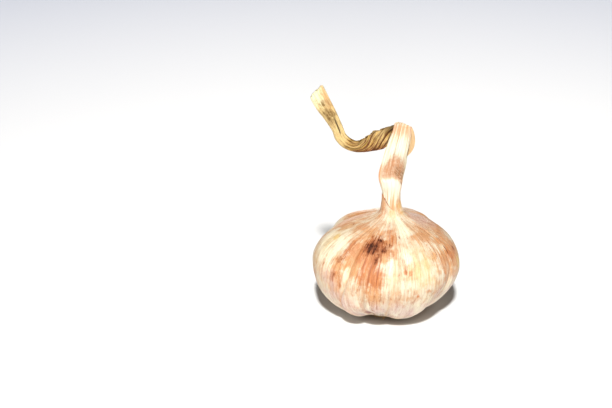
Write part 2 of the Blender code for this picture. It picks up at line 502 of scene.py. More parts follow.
class Effects:
    """The node groups that the finishes share, each built once.

    Attributes:
        streaks: Soft lengthwise streaks.
        veins: Thin wandering veins.
        grain: Fine grain, mottling and blotches.
        spots: Scattered specks.
    """

    def __init__(self) -> None:
        """Build the groups."""
        self.streaks = self._build_streaks()
        self.veins = self._build_veins()
        self.grain = self._build_grain()
        self.spots = self._build_spots()

    def _build_streaks(self) -> bpy.types.NodeTree:
        """Build lengthwise streaks that follow a piece's fibres.

        Returns:
            The group's tree.
        """
        tree, graph = new_group(
            "fibre_streaks",
            {"Fibre": (VECTOR, None), "Around": (FLOAT, 20.0), "Along": (FLOAT, 1.0),
             "Shift": (FLOAT, 0.0), "Low": (FLOAT, 0.4), "High": (FLOAT, 0.6)},
            {"Mask": FLOAT},
        )
        start, end = graph.node("NodeGroupInput"), graph.node("NodeGroupOutput")
        value = self._fibre_noise(graph, start)
        mask = graph.step(value, start.outputs["Low"], start.outputs["High"])
        graph.feed(end.inputs["Mask"], mask)
        return tree

    def _build_veins(self) -> bpy.types.NodeTree:
        """Build thin wandering veins that follow a piece's fibres.

        Returns:
            The group's tree.
        """
        tree, graph = new_group(
            "fibre_veins",
            {"Fibre": (VECTOR, None), "Around": (FLOAT, 20.0), "Along": (FLOAT, 1.0),
             "Shift": (FLOAT, 0.0), "Width": (FLOAT, 0.02)},
            {"Mask": FLOAT},
        )
        start, end = graph.node("NodeGroupInput"), graph.node("NodeGroupOutput")
        value = self._fibre_noise(graph, start)
        gap = graph.free_math("ABSOLUTE", graph.free_math("SUBTRACT", value, 0.5))
        mask = graph.math("SUBTRACT", 1.0, graph.step(gap, 0.0, start.outputs["Width"]))
        graph.feed(end.inputs["Mask"], mask)
        return tree

    @staticmethod
    def _fibre_noise(graph: Graph, start: bpy.types.Node) -> Socket:
        """Draw noise that is stretched along the fibres.

        Args:
            graph: Graph of the group.
            start: The group's input node, with Fibre, Around, Along and Shift.

        Returns:
            The noise value.
        """
        stretch = graph.node("ShaderNodeCombineXYZ")
        for axis, socket in enumerate(("Around", "Around", "Along")):
            graph.feed(stretch.inputs[axis], start.outputs[socket])
        placed = graph.node("ShaderNodeVectorMath", operation="MULTIPLY_ADD")
        graph.feed(placed.inputs[0], start.outputs["Fibre"])
        graph.feed(placed.inputs[1], stretch.outputs[0])
        graph.feed(placed.inputs[2], start.outputs["Shift"])
        return graph.noise(placed.outputs[0], 1.0, detail=5.0, roughness=0.6)

    def _build_grain(self) -> bpy.types.NodeTree:
        """Build fine dry grain and soft mottling in the piece's own space.

        Returns:
            The group's tree.
        """
        tree, graph = new_group(
            "dry_grain",
            {"Fine": (FLOAT, 2500.0), "Broad": (FLOAT, 180.0), "Blot": (FLOAT, 600.0)},
            {"Grain": FLOAT, "Mottle": FLOAT, "Blotch": FLOAT},
        )
        start, end = graph.node("NodeGroupInput"), graph.node("NodeGroupOutput")
        place = graph.node("ShaderNodeTexCoord").outputs["Object"]
        graph.feed(end.inputs["Grain"], graph.noise(place, start.outputs["Fine"], detail=3.0))
        graph.feed(end.inputs["Mottle"], graph.noise(place, start.outputs["Broad"], detail=4.0))
        blotch = graph.noise(place, start.outputs["Blot"], detail=3.0, roughness=0.65)
        graph.feed(end.inputs["Blotch"], graph.step(blotch, 0.30, 0.70))
        return tree

    def _build_spots(self) -> bpy.types.NodeTree:
        """Build scattered small dark specks.

        Returns:
            The group's tree.
        """
        tree, graph = new_group(
            "age_spots",
            {"Scale": (FLOAT, 400.0), "Size": (FLOAT, 0.25), "Share": (FLOAT, 0.2)},
            {"Mask": FLOAT},
        )
        start, end = graph.node("NodeGroupInput"), graph.node("NodeGroupOutput")
        place = graph.node("ShaderNodeTexCoord").outputs["Object"]
        cells = graph.node("ShaderNodeTexVoronoi", feature="F1")
        graph.feed(cells.inputs["Vector"], place)
        graph.feed(cells.inputs["Scale"], start.outputs["Scale"])
        solid_share = 0.4
        solid = graph.free_math("MULTIPLY", start.outputs["Size"], solid_share)
        disc = graph.math("SUBTRACT", 1.0,
                          graph.step(cells.outputs["Distance"], solid, start.outputs["Size"]))
        draw = graph.node("ShaderNodeSeparateColor")
        graph.feed(draw.inputs[0], cells.outputs["Color"])
        chosen = graph.math("LESS_THAN", draw.outputs[0], start.outputs["Share"])
        graph.feed(end.inputs["Mask"], graph.math("MULTIPLY", disc, chosen))
        return tree

    @staticmethod
    def place(graph: Graph, tree: bpy.types.NodeTree, **values: object) -> bpy.types.Node:
        """Place a group in a material with its own values.

        Args:
            graph: Graph of the material.
            tree: The group's node tree.
            **values: Input name to a number or an output socket.

        Returns:
            The group node.
        """
        made = graph.node("ShaderNodeGroup", node_tree=tree)
        for name, value in values.items():
            graph.feed(made.inputs[name], value)
        return made


@dataclass
class FibreBrush:
    """Draws streaks and veins along one piece's fibres in its material.

    For both, around says how closely the marks lie across the fibres and along how quickly they
    change lengthwise, and each set has its own shift.

    Attributes:
        graph: Graph of the material.
        effects: The shared node groups.
        layer: The point attribute that holds the fibre coordinates.
        fibre: Those coordinates, read once.
    """

    graph: Graph
    effects: Effects
    layer: str = "fibre"

    def __post_init__(self) -> None:
        """Read the fibre coordinates once."""
        self.fibre = self.graph.layer(self.layer, vector=True)

    def streaks(self, around: float, along: float, shift: float, low: float,
                high: float) -> Socket:
        """Draw soft streaks as a mask that rises from 0 at noise value low to 1 at high."""
        return Effects.place(self.graph, self.effects.streaks, Fibre=self.fibre, Around=around,
                             Along=along, Shift=shift, Low=low, High=high).outputs["Mask"]

    def veins(self, around: float, along: float, shift: float,
              width: float) -> Socket:
        """Draw thin veins as a mask, with their width as a share of the noise's range."""
        return Effects.place(self.graph, self.effects.veins, Fibre=self.fibre, Around=around,
                             Along=along, Shift=shift, Width=width).outputs["Mask"]


def new_material(name: str) -> tuple[bpy.types.Material, Graph, bpy.types.Node]:
    """Start a material.

    Args:
        name: Its name.

    Returns:
        The material, a graph that draws in it and its Principled shader.
    """
    material = bpy.data.materials.new(name)
    material.use_nodes = True
    shader = material.node_tree.nodes["Principled BSDF"]
    return material, Graph(material.node_tree), shader


def add_relief(graph: Graph, shader: bpy.types.Node, height: Socket,
               strength: float, depth: float) -> None:
    """Feed a height through a Bump node into a shader's normal.

    Args:
        graph: Graph of the material.
        shader: Its Principled shader.
        height: The height to show.
        strength: How much of the relief shows, 0 to 1.
        depth: Depth of a full step, in metres.
    """
    relief = graph.node("ShaderNodeBump")
    relief.inputs["Strength"].default_value = strength
    relief.inputs["Distance"].default_value = depth
    graph.feed(relief.inputs["Height"], height)
    graph.feed(shader.inputs["Normal"], relief.outputs["Normal"])


# ----------------------------------------------------------------------------------------------
# Bulb


@dataclass(frozen=True)
class Lobe:
    """One clove's bulge in the skin, up to where the next one starts.

    Attributes:
        start_low: Azimuth of its first edge near the underside, in degrees.
        start_high: Azimuth of its first edge from mid height up.
        reach_low: Radius factor of its middle near the underside.
        reach_mid: Radius factor at mid height.
        reach_high: Radius factor at the shoulder.
        crease_low: How deep the crease at its first edge is low down, as a factor.
        crease_high: How deep it is at the shoulder.
    """

    start_low: float
    start_high: float
    reach_low: float
    reach_mid: float
    reach_high: float
    crease_low: float
    crease_high: float


LOBES = (
    Lobe(-100.0, -124.0, 1.05, 1.005, 1.01, 0.6, 2.0),
    Lobe(-46.0, -35.0, 1.10, 1.01, 0.99, 0.1, 0.8),
    Lobe(-24.0, -21.0, 0.97, 0.965, 0.91, 0.8, 0.5),
    Lobe(-2.0, 3.0, 0.98, 1.00, 1.00, 1.0, 0.5),
    Lobe(50.0, 58.0, 0.94, 1.00, 0.96, 1.9, 0.6),
    Lobe(93.0, 101.0, 0.95, 1.03, 0.91, 0.8, 0.7),
    Lobe(132.0, 130.0, 0.96, 0.98, 1.02, 1.0, 1.2),
    Lobe(174.0, 172.0, 0.98, 0.98, 0.98, 1.0, 1.2),
    Lobe(216.0, 214.0, 1.00, 0.99, 1.04, 1.0, 1.2),
)


class Tint(Enum):
    """The tint layers that the skin's finish reads: stains and tones of the skin, and in the pale
    layer partly painted light.
    """

    TAN = "tan"
    RUST = "rust"
    DARK = "dark"
    PALE = "pale"
    YELLOW = "yellow"
    BLUSH = "blush"


@dataclass(frozen=True)
class Patch:
    """One soft patch of a tint on the bulb.

    Attributes:
        azimuth: Its middle round the bulb, in degrees.
        height: Its middle above the floor, in millimetres.
        half_turn: Its half width in degrees.
        half_height: Its half height in millimetres.
        strength: How strong it is in its middle.
        edge: How sharp its edge is.
    """

    azimuth: float
    height: float
    half_turn: float
    half_height: float
    strength: float
    edge: float = 1.7

    def cover(self, azimuth: np.ndarray, height: np.ndarray) -> np.ndarray:
        """Work out how strongly the patch covers each place.

        Args:
            azimuth: Azimuths in degrees.
            height: Heights in millimetres.

        Returns:
            Strengths from 0 up.
        """
        across = turn_gap(azimuth, self.azimuth) / self.half_turn
        along = (height - self.height) / self.half_height
        return self.strength * np.exp(-((across ** 2 + along ** 2) ** self.edge))


PATCHES: dict[Tint, tuple[Patch, ...]] = {
    Tint.DARK: (
        Patch(-20.5, 35.0, 13.0, 3.0, 0.92), Patch(-26.6, 35.2, 3.6, 1.2, 1.00),
        Patch(-29.5, 37.4, 2.2, 0.5, 0.65), Patch(-19.0, 37.2, 2.6, 0.6, 0.75),
        Patch(-16.2, 36.0, 3.4, 1.0, 1.00), Patch(-19.0, 34.0, 6.0, 1.5, 1.00),
        Patch(-9.6, 34.0, 4.4, 1.1, 0.95), Patch(-15.2, 32.0, 2.4, 1.9, 0.90),
        Patch(-15.5, 32.4, 5.0, 2.8, 0.62), Patch(-11.0, 34.6, 9.0, 1.7, 0.70),
        Patch(-3.2, 35.3, 4.5, 0.8, 0.60), Patch(9.8, 37.6, 2.2, 0.5, 0.65),
        Patch(2.0, 37.9, 3.0, 0.5, 0.45), Patch(-48.7, 29.8, 4.2, 2.0, 0.52),
        Patch(-50.2, 23.8, 3.2, 2.4, 0.48), Patch(-84.0, 37.7, 8.0, 0.3, 0.45),
        Patch(63.0, 30.5, 1.6, 2.2, 0.80), Patch(76.6, 29.3, 2.2, 1.4, 0.85),
        Patch(75.0, 35.1, 3.0, 0.6, 0.65), Patch(65.2, 34.8, 2.2, 0.6, 0.55),
        Patch(91.7, 28.4, 1.8, 2.0, 0.60),
    ),
    Tint.RUST: (
        Patch(-23.0, 34.8, 19.0, 2.9, 1.00), Patch(-18.5, 28.4, 8.5, 6.4, 1.15),
        Patch(-12.5, 26.2, 7.0, 4.4, 1.05), Patch(-2.0, 37.4, 12.0, 2.0, 0.80),
        Patch(-30.5, 32.0, 6.0, 2.2, 0.95), Patch(-45.0, 33.0, 6.0, 4.0, 0.75),
        Patch(-48.0, 23.5, 5.0, 2.5, 0.50), Patch(-42.0, 22.0, 2.5, 3.0, 0.70),
        Patch(11.6, 28.5, 2.2, 1.2, 0.95), Patch(16.0, 27.9, 2.2, 1.2, 0.85),
        Patch(58.0, 34.6, 12.0, 2.4, 0.25), Patch(66.0, 28.8, 13.0, 2.6, 0.78),
        Patch(50.0, 21.8, 1.8, 4.5, 0.60), Patch(22.0, 18.5, 1.6, 1.0, 0.90),
        Patch(31.0, 20.0, 2.4, 0.9, 0.80), Patch(96.0, 36.0, 26.0, 4.0, 0.35),
        Patch(-60.0, 44.0, 26.0, 2.6, 0.40), Patch(-118.0, 38.0, 30.0, 3.0, 0.35),
    ),
    Tint.TAN: (
        Patch(-32.0, 31.5, 20.0, 8.0, 1.00), Patch(-12.0, 21.0, 7.5, 10.0, 0.95),
        Patch(-9.0, 34.6, 11.0, 4.6, 1.00), Patch(-48.0, 22.0, 9.0, 11.0, 1.00),
        Patch(-80.0, 17.0, 10.0, 7.0, 0.70), Patch(-40.0, 38.0, 60.0, 1.8, 0.62),
        Patch(67.0, 29.6, 22.0, 8.0, 0.95), Patch(52.0, 37.4, 22.0, 2.2, 0.88),
        Patch(45.0, 30.0, 9.0, 5.0, 0.70), Patch(100.0, 37.5, 44.0, 4.6, 1.00),
        Patch(125.0, 34.0, 40.0, 7.0, 1.00), Patch(-118.0, 37.5, 48.0, 4.0, 1.00),
        Patch(34.0, 20.0, 20.0, 7.0, 0.16), Patch(12.0, 18.0, 8.0, 5.0, 0.36),
        Patch(-36.0, 13.0, 16.0, 4.0, 0.60), Patch(66.0, 45.0, 44.0, 4.0, 0.70),
        Patch(-72.0, 46.0, 36.0, 4.8, 1.00), Patch(170.0, 27.0, 16.0, 12.0, 0.80),
        Patch(-155.0, 22.0, 12.0, 12.0, 0.70), Patch(125.0, 18.0, 10.0, 9.0, 0.60),
    ),
    # The pale patches are partly pale skin and partly painted light: painted highlight in front,
    # painted light on the left side and low down.
    Tint.PALE: (
        Patch(-70.0, 31.5, 19.0, 5.6, 1.00), Patch(-60.0, 26.5, 9.0, 4.0, 0.70),
        Patch(-66.0, 35.8, 14.0, 1.5, 0.70), Patch(2.0, 29.5, 5.0, 5.0, 0.90),
        Patch(13.0, 33.0, 8.0, 2.6, 0.80), Patch(22.0, 27.0, 4.0, 4.0, 0.50),
        Patch(-37.4, 25.6, 3.0, 3.6, 0.95), Patch(2.0, 21.0, 4.0, 3.0, 0.30),
        Patch(22.0, 39.8, 15.0, 2.4, 1.00), Patch(-12.0, 40.9, 14.0, 1.5, 0.80),
        Patch(58.0, 17.6, 18.0, 4.0, 0.70), Patch(60.0, 32.2, 7.0, 1.5, 0.70),
        Patch(0.0, 11.0, 6.0, 4.0, 0.60), Patch(45.0, 16.0, 12.0, 3.0, 0.50),
        Patch(30.0, 14.0, 14.0, 5.0, 0.62), Patch(-20.0, 12.6, 7.0, 3.8, 0.70),
        Patch(-60.0, 10.0, 16.0, 6.0, 0.52), Patch(12.0, 9.0, 40.0, 4.0, 0.40),
        Patch(150.0, 22.0, 12.0, 7.0, 0.80), Patch(-175.0, 18.0, 10.0, 7.0, 0.60),
        Patch(-120.0, 25.0, 14.0, 7.0, 0.80),
    ),
    Tint.YELLOW: (
        Patch(-73.1, 34.2, 5.0, 1.2, 1.30), Patch(-78.0, 29.0, 14.0, 11.0, 0.55),
        Patch(28.0, 28.0, 16.0, 8.0, 0.65), Patch(0.0, 26.0, 6.0, 2.0, 0.60),
        Patch(-18.0, 27.5, 5.0, 3.0, 0.80), Patch(4.0, 43.5, 26.0, 3.0, 0.80),
        Patch(77.0, 24.0, 5.0, 3.0, 1.10), Patch(66.0, 44.5, 36.0, 3.2, 0.90),
        Patch(-140.0, 24.0, 14.0, 8.0, 0.50),
    ),
    Tint.BLUSH: (
        Patch(-52.0, 21.0, 10.0, 5.0, 0.70), Patch(-42.0, 14.0, 22.0, 4.5, 0.90),
        Patch(6.0, 11.0, 56.0, 5.5, 0.75), Patch(60.0, 16.0, 24.0, 5.0, 0.80),
        Patch(100.0, 38.5, 40.0, 3.0, 0.90), Patch(-130.0, 14.0, 40.0, 5.0, 0.70),
        Patch(150.0, 12.0, 50.0, 4.0, 0.70),
    ),
}


@dataclass
class BulbForm:
    """The bulb's lobed shape, in millimetres.

    Attributes:
        outline: Half outline, as radius and height, from the rim of the root plate's hollow to
            the neck's top.
        depth_ratio: Front-to-back size against side-to-side size.
        neck_shift: How far the neck leans off the bulb's axis, in x and y.
        groove_heights: Heights at which the creases' depth is given.
        groove_depths: Depth of a plain crease at those heights, as a share of the radius.
        reach_heights: Heights of the three reaches that each lobe gives.
        slant_heights: Heights between which a crease moves from its low azimuth to its high one.
        hollow: The sunken place on the front shoulder: its azimuth and height, its half width
            in degrees, its half height and its depth.
        lifts: Stretches where the underside rises off the ground: azimuth, half width in
            degrees and rise.
        lift_heights: Heights between which those rises fade out.
        lift_radii: Radii between which they fade in.
    """

    outline: tuple[Pair, ...] = (
        (8.6, 3.0), (9.4, 1.9), (12.5, 1.6), (17.0, 3.2), (22.6, 7.4), (26.9, 13.4),
        (28.8, 19.6), (28.2, 25.4), (25.2, 30.8), (20.4, 34.9), (15.2, 37.4), (10.8, 39.0),
        (7.8, 40.4), (6.0, 42.0), (4.9, 44.2), (3.9, 48.0), (3.4, 52.0),
    )
    depth_ratio: float = 0.94
    neck_shift: Pair = (1.6, 0.8)
    groove_heights: tuple[float, ...] = (1.4, 6.0, 14.0, 24.0, 33.0, 38.0, 42.0)
    groove_depths: tuple[float, ...] = (0.065, 0.105, 0.085, 0.070, 0.085, 0.070, 0.0)
    reach_heights: Triple = (4.0, 20.0, 34.0)
    slant_heights: Pair = (6.0, 26.0)
    hollow: tuple[float, ...] = (-14.0, 34.5, 16.0, 4.6, 1.3)
    lifts: tuple[Triple, ...] = ((-23.0, 13.0, 2.6), (-3.0, 11.0, 2.0))
    lift_heights: Pair = (3.0, 13.0)
    lift_radii: Pair = (9.6, 14.0)

    def lobes(self, azimuth: np.ndarray, height: np.ndarray) -> tuple[np.ndarray, np.ndarray]:
        """Work out the lobes.

        Args:
            azimuth: Azimuths in degrees.
            height: Heights in millimetres.

        Returns:
            The radius factor and how close each place is to a crease, 0 to 1.
        """
        slant = smooth_step(height, *self.slant_heights)
        starts = [lobe.start_low + (lobe.start_high - lobe.start_low) * slant for lobe in LOBES]
        starts.append(starts[0] + 360.0)
        azimuth = (azimuth - starts[0]) % 360.0 + starts[0]
        groove = np.interp(height, self.groove_heights, self.groove_depths)
        factor, crease = np.ones_like(height), np.zeros_like(height)
        for index, lobe in enumerate(LOBES):
            inside = (azimuth >= starts[index]) & (azimuth < starts[index + 1])
            share = (azimuth - starts[index]) / (starts[index + 1] - starts[index])
            arch = np.clip(1.0 - (2.0 * share - 1.0) ** 2, 0.0, 1.0)
            reaches = (lobe.reach_low, lobe.reach_mid, lobe.reach_high)
            reach = np.interp(height, self.reach_heights, reaches)
            follower = LOBES[(index + 1) % len(LOBES)]
            low = lobe.crease_low * (1.0 - share) + follower.crease_low * share
            high = lobe.crease_high * (1.0 - share) + follower.crease_high * share
            depth = groove * (low + (high - low) * slant)
            value = 1.0 - depth * (1.0 - arch ** 0.6) + (reach - 1.0) * arch ** 0.35
            factor = np.where(inside, value, factor)
            crease = np.where(inside, (1.0 - arch) ** 6, crease)
        return factor, crease

    def lift(self, azimuth: np.ndarray, height: np.ndarray, radius: np.ndarray) -> np.ndarray:
        """Work out how far the underside rises between the cloves that the bulb stands on.

        Args:
            azimuth: Azimuths in degrees.
            height: Heights in millimetres.
            radius: Radii of the smooth outline in millimetres.

        Returns:
            Rises in millimetres.
        """
        rise = sum(size * bump(turn_gap(azimuth, centre), 0.0, half) for centre, half, size
                   in self.lifts)
        low = 1.0 - smooth_step(height, *self.lift_heights)
        return rise * low * smooth_step(radius, *self.lift_radii)

    def hollow_depth(self, azimuth: np.ndarray, height: np.ndarray) -> np.ndarray:
        """Work out the sunken place on the front shoulder.

        Args:
            azimuth: Azimuths in degrees.
            height: Heights in millimetres.

        Returns:
            Depths in millimetres.
        """
        centre, level, half_turn, half_height, depth = self.hollow
        return depth * bump(turn_gap(azimuth, centre), 0.0, half_turn) * bump(
            height, level, half_height)


@dataclass
class StemForm:
    """The stem's path and sections, in millimetres.

    Attributes:
        stations: x, y, z, width, thickness and twist in degrees from the foot in the neck, up
            to the fold, over it and down behind.
        upright: How many stations from the foot belong to the upright part.
        power: Exponent of the section's outline: 2 is an ellipse and more is boxier.
    """

    stations: Rows = (
        (1.7, 0.8, 34.0, 9.4, 8.4, 0.0), (1.7, 0.8, 38.0, 9.2, 8.0, 0.0),
        (1.6, 0.8, 42.0, 8.8, 7.2, 0.0), (1.45, 0.8, 44.4, 7.8, 6.2, 2.0),
        (1.35, 0.8, 47.0, 7.0, 5.3, 4.0), (1.3, 0.8, 50.3, 6.9, 4.7, 10.0),
        (1.2, 0.9, 54.1, 9.0, 4.2, 18.0), (1.15, 1.0, 57.9, 10.3, 3.6, 18.0),
        (2.1, 1.0, 62.6, 9.4, 3.4, 8.0), (2.7, 1.1, 66.3, 8.6, 3.2, 0.0),
        (3.6, 1.3, 70.0, 8.1, 3.0, -4.0), (4.4, 1.4, 73.4, 7.5, 2.6, -5.0),
        (4.9, 1.9, 75.9, 7.0, 1.9, -4.0), (5.35, 3.2, 76.8, 7.3, 1.7, -2.0),
        (6.15, 4.5, 75.7, 8.3, 1.7, 0.0), (6.8, 5.0, 72.4, 9.2, 1.8, 0.0),
        (6.5, 5.1, 69.1, 9.2, 1.7, 0.0), (5.0, 5.2, 66.3, 7.7, 1.6, 0.0),
        (2.6, 5.3, 65.2, 6.0, 1.4, 0.0), (0.6, 5.3, 65.0, 3.6, 1.0, 0.0),
    )
    upright: int = 8
    power: float = 2.3

    def radius(self, azimuth: np.ndarray, height: np.ndarray) -> tuple[np.ndarray, ...]:
        """Read the upright part of the stem as a radius round its axis.

        Args:
            azimuth: Azimuths in degrees.
            height: Heights in millimetres.

        Returns:
            The radius and the axis's x and y, all in millimetres.
        """
        upright = np.array(self.stations[:self.upright])
        columns = [np.interp(height, upright[:, 2], upright[:, k]) for k in (0, 1, 3, 4, 5)]
        x, y, width, thickness, twist = columns
        angle = np.radians(azimuth - 90.0 - twist)
        wide = np.abs(np.cos(angle) / (width / 2.0)) ** self.power
        deep = np.abs(np.sin(angle) / (thickness / 2.0)) ** self.power
        return (wide + deep) ** (-1.0 / self.power), x, y


@dataclass
class BulbSkin:
    """The papery wrapper from the root plate up to its collar round the stem.

    Attributes:
        form: The bulb's shape.
        stem: The stem that the collar clasps.
        rings: Rings of the mesh.
        sides: Points in each ring.
        curve_steps: How finely the outline is read before its rings are spaced evenly.
        pleat_height: Height of the fine pleats in millimetres.
        neck_start: Height from which the skin is stretched up to the collar's edge.
        foot_radius: Radius of the part of the underside where the lobes fade in.
        lobe_start: Radii between which the lobes fade in on the underside.
        lobe_end: Radii between which they fade out at the neck.
        clasp_heights: Heights between which the skin closes round the stem.
        collar_top: Height of the collar's highest edge in millimetres.
        collar_dip: Height of its lowest edge in millimetres.
        dip_azimuth: Azimuth of that lowest edge, in degrees.
        collar_gap: How far the collar stands off the stem, in millimetres.
        collar_ribs: Height of its ribs.
        flap_gap: How much farther off its loose flap stands.
        flap_turn: How far from the lowest edge the flap lies, and its half width.
        torn_waves: Height, count in a turn and phase of the waves along the torn back edge.
        folded_rings: Rings at the top that tuck in behind the collar's edge.
        tuck_in: How far they draw in towards the stem, in millimetres.
        tuck_down: How far they turn down.
        fibre_length: Length of the fibre coordinate from the root plate to the collar.
    """

    form: BulbForm
    stem: StemForm
    rings: int = 225
    sides: int = 420
    curve_steps: int = 600
    pleat_height: float = 0.14
    neck_start: float = 40.0
    foot_radius: float = 20.0
    lobe_start: Pair = (10.0, 16.0)
    lobe_end: Pair = (4.5, 12.0)
    clasp_heights: Pair = (39.6, 43.6)
    collar_top: float = 50.0
    collar_dip: float = 44.2
    dip_azimuth: float = 14.0
    collar_gap: float = 0.06
    collar_ribs: float = 0.07
    flap_gap: float = 0.34
    flap_turn: float = 52.0
    torn_waves: tuple[Triple, ...] = ((0.55, 3.0, 50.0), (0.30, 9.0, 0.0), (0.16, 23.0, 0.0))
    folded_rings: int = 4
    tuck_in: float = 0.8
    tuck_down: float = 0.2
    fibre_length: float = 8.5

    def edge_height(self, azimuth: np.ndarray) -> np.ndarray:
        """Work out the collar's edge: slanted in front, torn behind.

        Args:
            azimuth: Azimuths in degrees.

        Returns:
            Heights of the edge in millimetres.
        """
        gap = turn_gap(azimuth, self.dip_azimuth)
        falling = smooth_step(gap, -100.0, 4.0)
        rising = smooth_step(gap, 2.0, 46.0)
        behind = smooth_step(np.abs(turn_gap(azimuth, 0.0)), 85.0, 130.0)
        torn = sum(size * np.sin(np.radians(count * azimuth + phase))
                   for size, count, phase in self.torn_waves)
        slant = (self.collar_dip - self.collar_top) * (falling - rising)
        return self.collar_top + slant + (torn - 0.5) * behind

    def build(self) -> bpy.types.Object:
        """Model the skin as one closed grid with its stain layers.

        Returns:
            The skin.
        """
        curve = smooth_rows(self.form.outline, self.curve_steps)
        outline = even_rows(curve, self.rings, 2)
        every = np.ones((self.rings, self.sides))
        azimuth = np.linspace(-180.0, 180.0, self.sides, endpoint=False)[None, :] * every
        radius, height = outline[:, :1] * every, outline[:, 1:2] * every
        along = np.linspace(0.0, 1.0, self.rings)[:, None] * every
        turn = np.radians(azimuth)
        foot = (height < self.form.reach_heights[1]) & (radius < self.foot_radius)

        edge = self.edge_height(azimuth)
        top = outline[-self.folded_rings, 1]
        share = np.clip((height - self.neck_start) / (top - self.neck_start), 0.0, 1.0)
        stretched = self.neck_start + share * (edge - self.neck_start)
        height = np.where(height > self.neck_start, stretched, height)

        factor, crease = self.form.lobes(azimuth, height)
        fade = np.where(foot, smooth_step(radius, *self.lobe_start),
                        smooth_step(radius, *self.lobe_end))
        factor = 1.0 + (factor - 1.0) * fade
        body = radius * factor + self.relief(azimuth, height, radius, along, fade)

        stem_radius, stem_x, stem_y = self.stem.radius(azimuth, height)
        clasp = smooth_step(height, *self.clasp_heights)
        flap = bump(turn_gap(azimuth, self.dip_azimuth - self.flap_turn), 0.0, self.flap_turn)
        fibres = Ripples(seed=11, fewest=9, most=34, drift=0.5).heights(turn, along)
        loose = self.collar_gap + self.flap_gap * flap
        collar = stem_radius + loose + self.collar_ribs * fibres
        body = body + (collar - body) * clasp
        lean = smooth_step(height, 20.0, 44.0) * (1.0 - clasp)
        centre_x = self.form.neck_shift[0] * lean + stem_x * clasp
        centre_y = self.form.neck_shift[1] * lean + stem_y * clasp

        rings_left = self.rings - 1 - np.arange(self.rings)[:, None]
        tuck = np.clip(1.0 - rings_left / (self.folded_rings - 1.0), 0.0, 1.0)
        body = body - tuck * self.tuck_in
        depth_ratio = 1.0 + (self.form.depth_ratio - 1.0) * smooth_step(radius, 8.0, 20.0)
        angle = np.radians(azimuth - 90.0)
        x = centre_x + body * np.cos(angle)
        y = centre_y + body * np.sin(angle) * depth_ratio
        rise = self.form.lift(azimuth, height, radius) - tuck * self.tuck_down
        points = np.stack([x, y, height + rise], -1)

        layers = self.tints(azimuth, height)
        # Closeness to the creases between the lobes, which the finish washes darker as painted
        # shade.
        layers["crease"] = crease * fade
        layers["fibre"] = np.stack([np.cos(turn), np.sin(turn), along * self.fibre_length], -1)
        layers["under"] = 1.0 - smooth_step(height, 3.0, 12.0)
        # Painted bounce light: how much the skin is painted lighter towards the ground.
        layers["low"] = 1.0 - smooth_step(height, 3.0, 18.5)
        # The collar's edge: a brown edge, partly painted shade of the gap under it.
        layers["collar_edge_and_shade"] = smooth_step(height - edge, -0.40, -0.12) * flap
        return closed_grid("bulb_skin", points, layers)

    def relief(self, azimuth: np.ndarray, height: np.ndarray, radius: np.ndarray,
               along: np.ndarray, fade: np.ndarray) -> np.ndarray:
        """Work out the pleats, gathers, dents, wrinkles and the sunken place.

        Args:
            azimuth: Azimuths in degrees.
            height: Heights in millimetres.
            radius: Radii of the smooth outline in millimetres.
            along: Place along the outline, 0 to 1.
            fade: 0 where the skin must stay round, 1 where it is lobed.

        Returns:
            Offsets from the lobed skin in millimetres.
        """
        turn = np.radians(azimuth)
        fine = Ripples(seed=3, fewest=60, most=150, waves=28, drift=1.2).heights(turn, along)
        veins = Ripples(seed=5, fewest=26, most=64, waves=18, drift=0.8).heights(turn, along)
        broad = Ripples(seed=7, fewest=5, most=15, waves=8, drift=0.8).heights(turn, along)
        neck = smooth_step(height, 34.0, 40.0)
        foot = 1.0 - smooth_step(height, 2.0, 9.0)
        pleats = self.pleat_height * (fine * 0.55 + (1.0 - np.abs(veins)) * 0.9)
        gathers = 0.26 * neck * veins * smooth_step(radius, 3.0, 9.0)
        tucks = 0.22 * foot * veins * smooth_step(radius, 9.5, 13.0)
        dents = 0.22 * broad * fade
        hollow = self.form.hollow_depth(azimuth, height)
        shoulder = self.shoulder_wrinkles(azimuth, height, radius)
        return (pleats * smooth_step(radius, 3.0, 8.0) + gathers + tucks + dents + shoulder
                - hollow)

    @staticmethod
    def shoulder_wrinkles(azimuth: np.ndarray, height: np.ndarray,
                          radius: np.ndarray) -> np.ndarray:
        """Work out the fine crosswise wrinkles on the right shoulder.

        Args:
            azimuth: Azimuths in degrees.
            height: Heights in millimetres.
            radius: Radii of the smooth outline in millimetres.

        Returns:
            Offsets in millimetres.
        """
        centre, half_turn = 104.0, 34.0
        level, half_height = 38.0, 3.2
        spacing, depth = 1.25, 0.12
        turn = np.radians(azimuth)
        place = bump(turn_gap(azimuth, centre), 0.0, half_turn) * bump(height, level, half_height)
        wander = 1.6 * np.sin(5.0 * turn) + 0.9 * np.sin(13.0 * turn + 1.0)
        return depth * place * np.sin(2.0 * math.pi * radius / spacing + wander)

    @staticmethod
    def tints(azimuth: np.ndarray, height: np.ndarray) -> dict[str, np.ndarray]:
        """Lay the patches over each other in one layer for each tint.

        Args:
            azimuth: Azimuths in degrees.
            height: Heights in millimetres.

        Returns:
            Layer name to the strength of its tint.
        """
        return {
            tint.value: np.maximum.reduce([patch.cover(azimuth, height) for patch in patches])
            for tint, patches in PATCHES.items()
        }


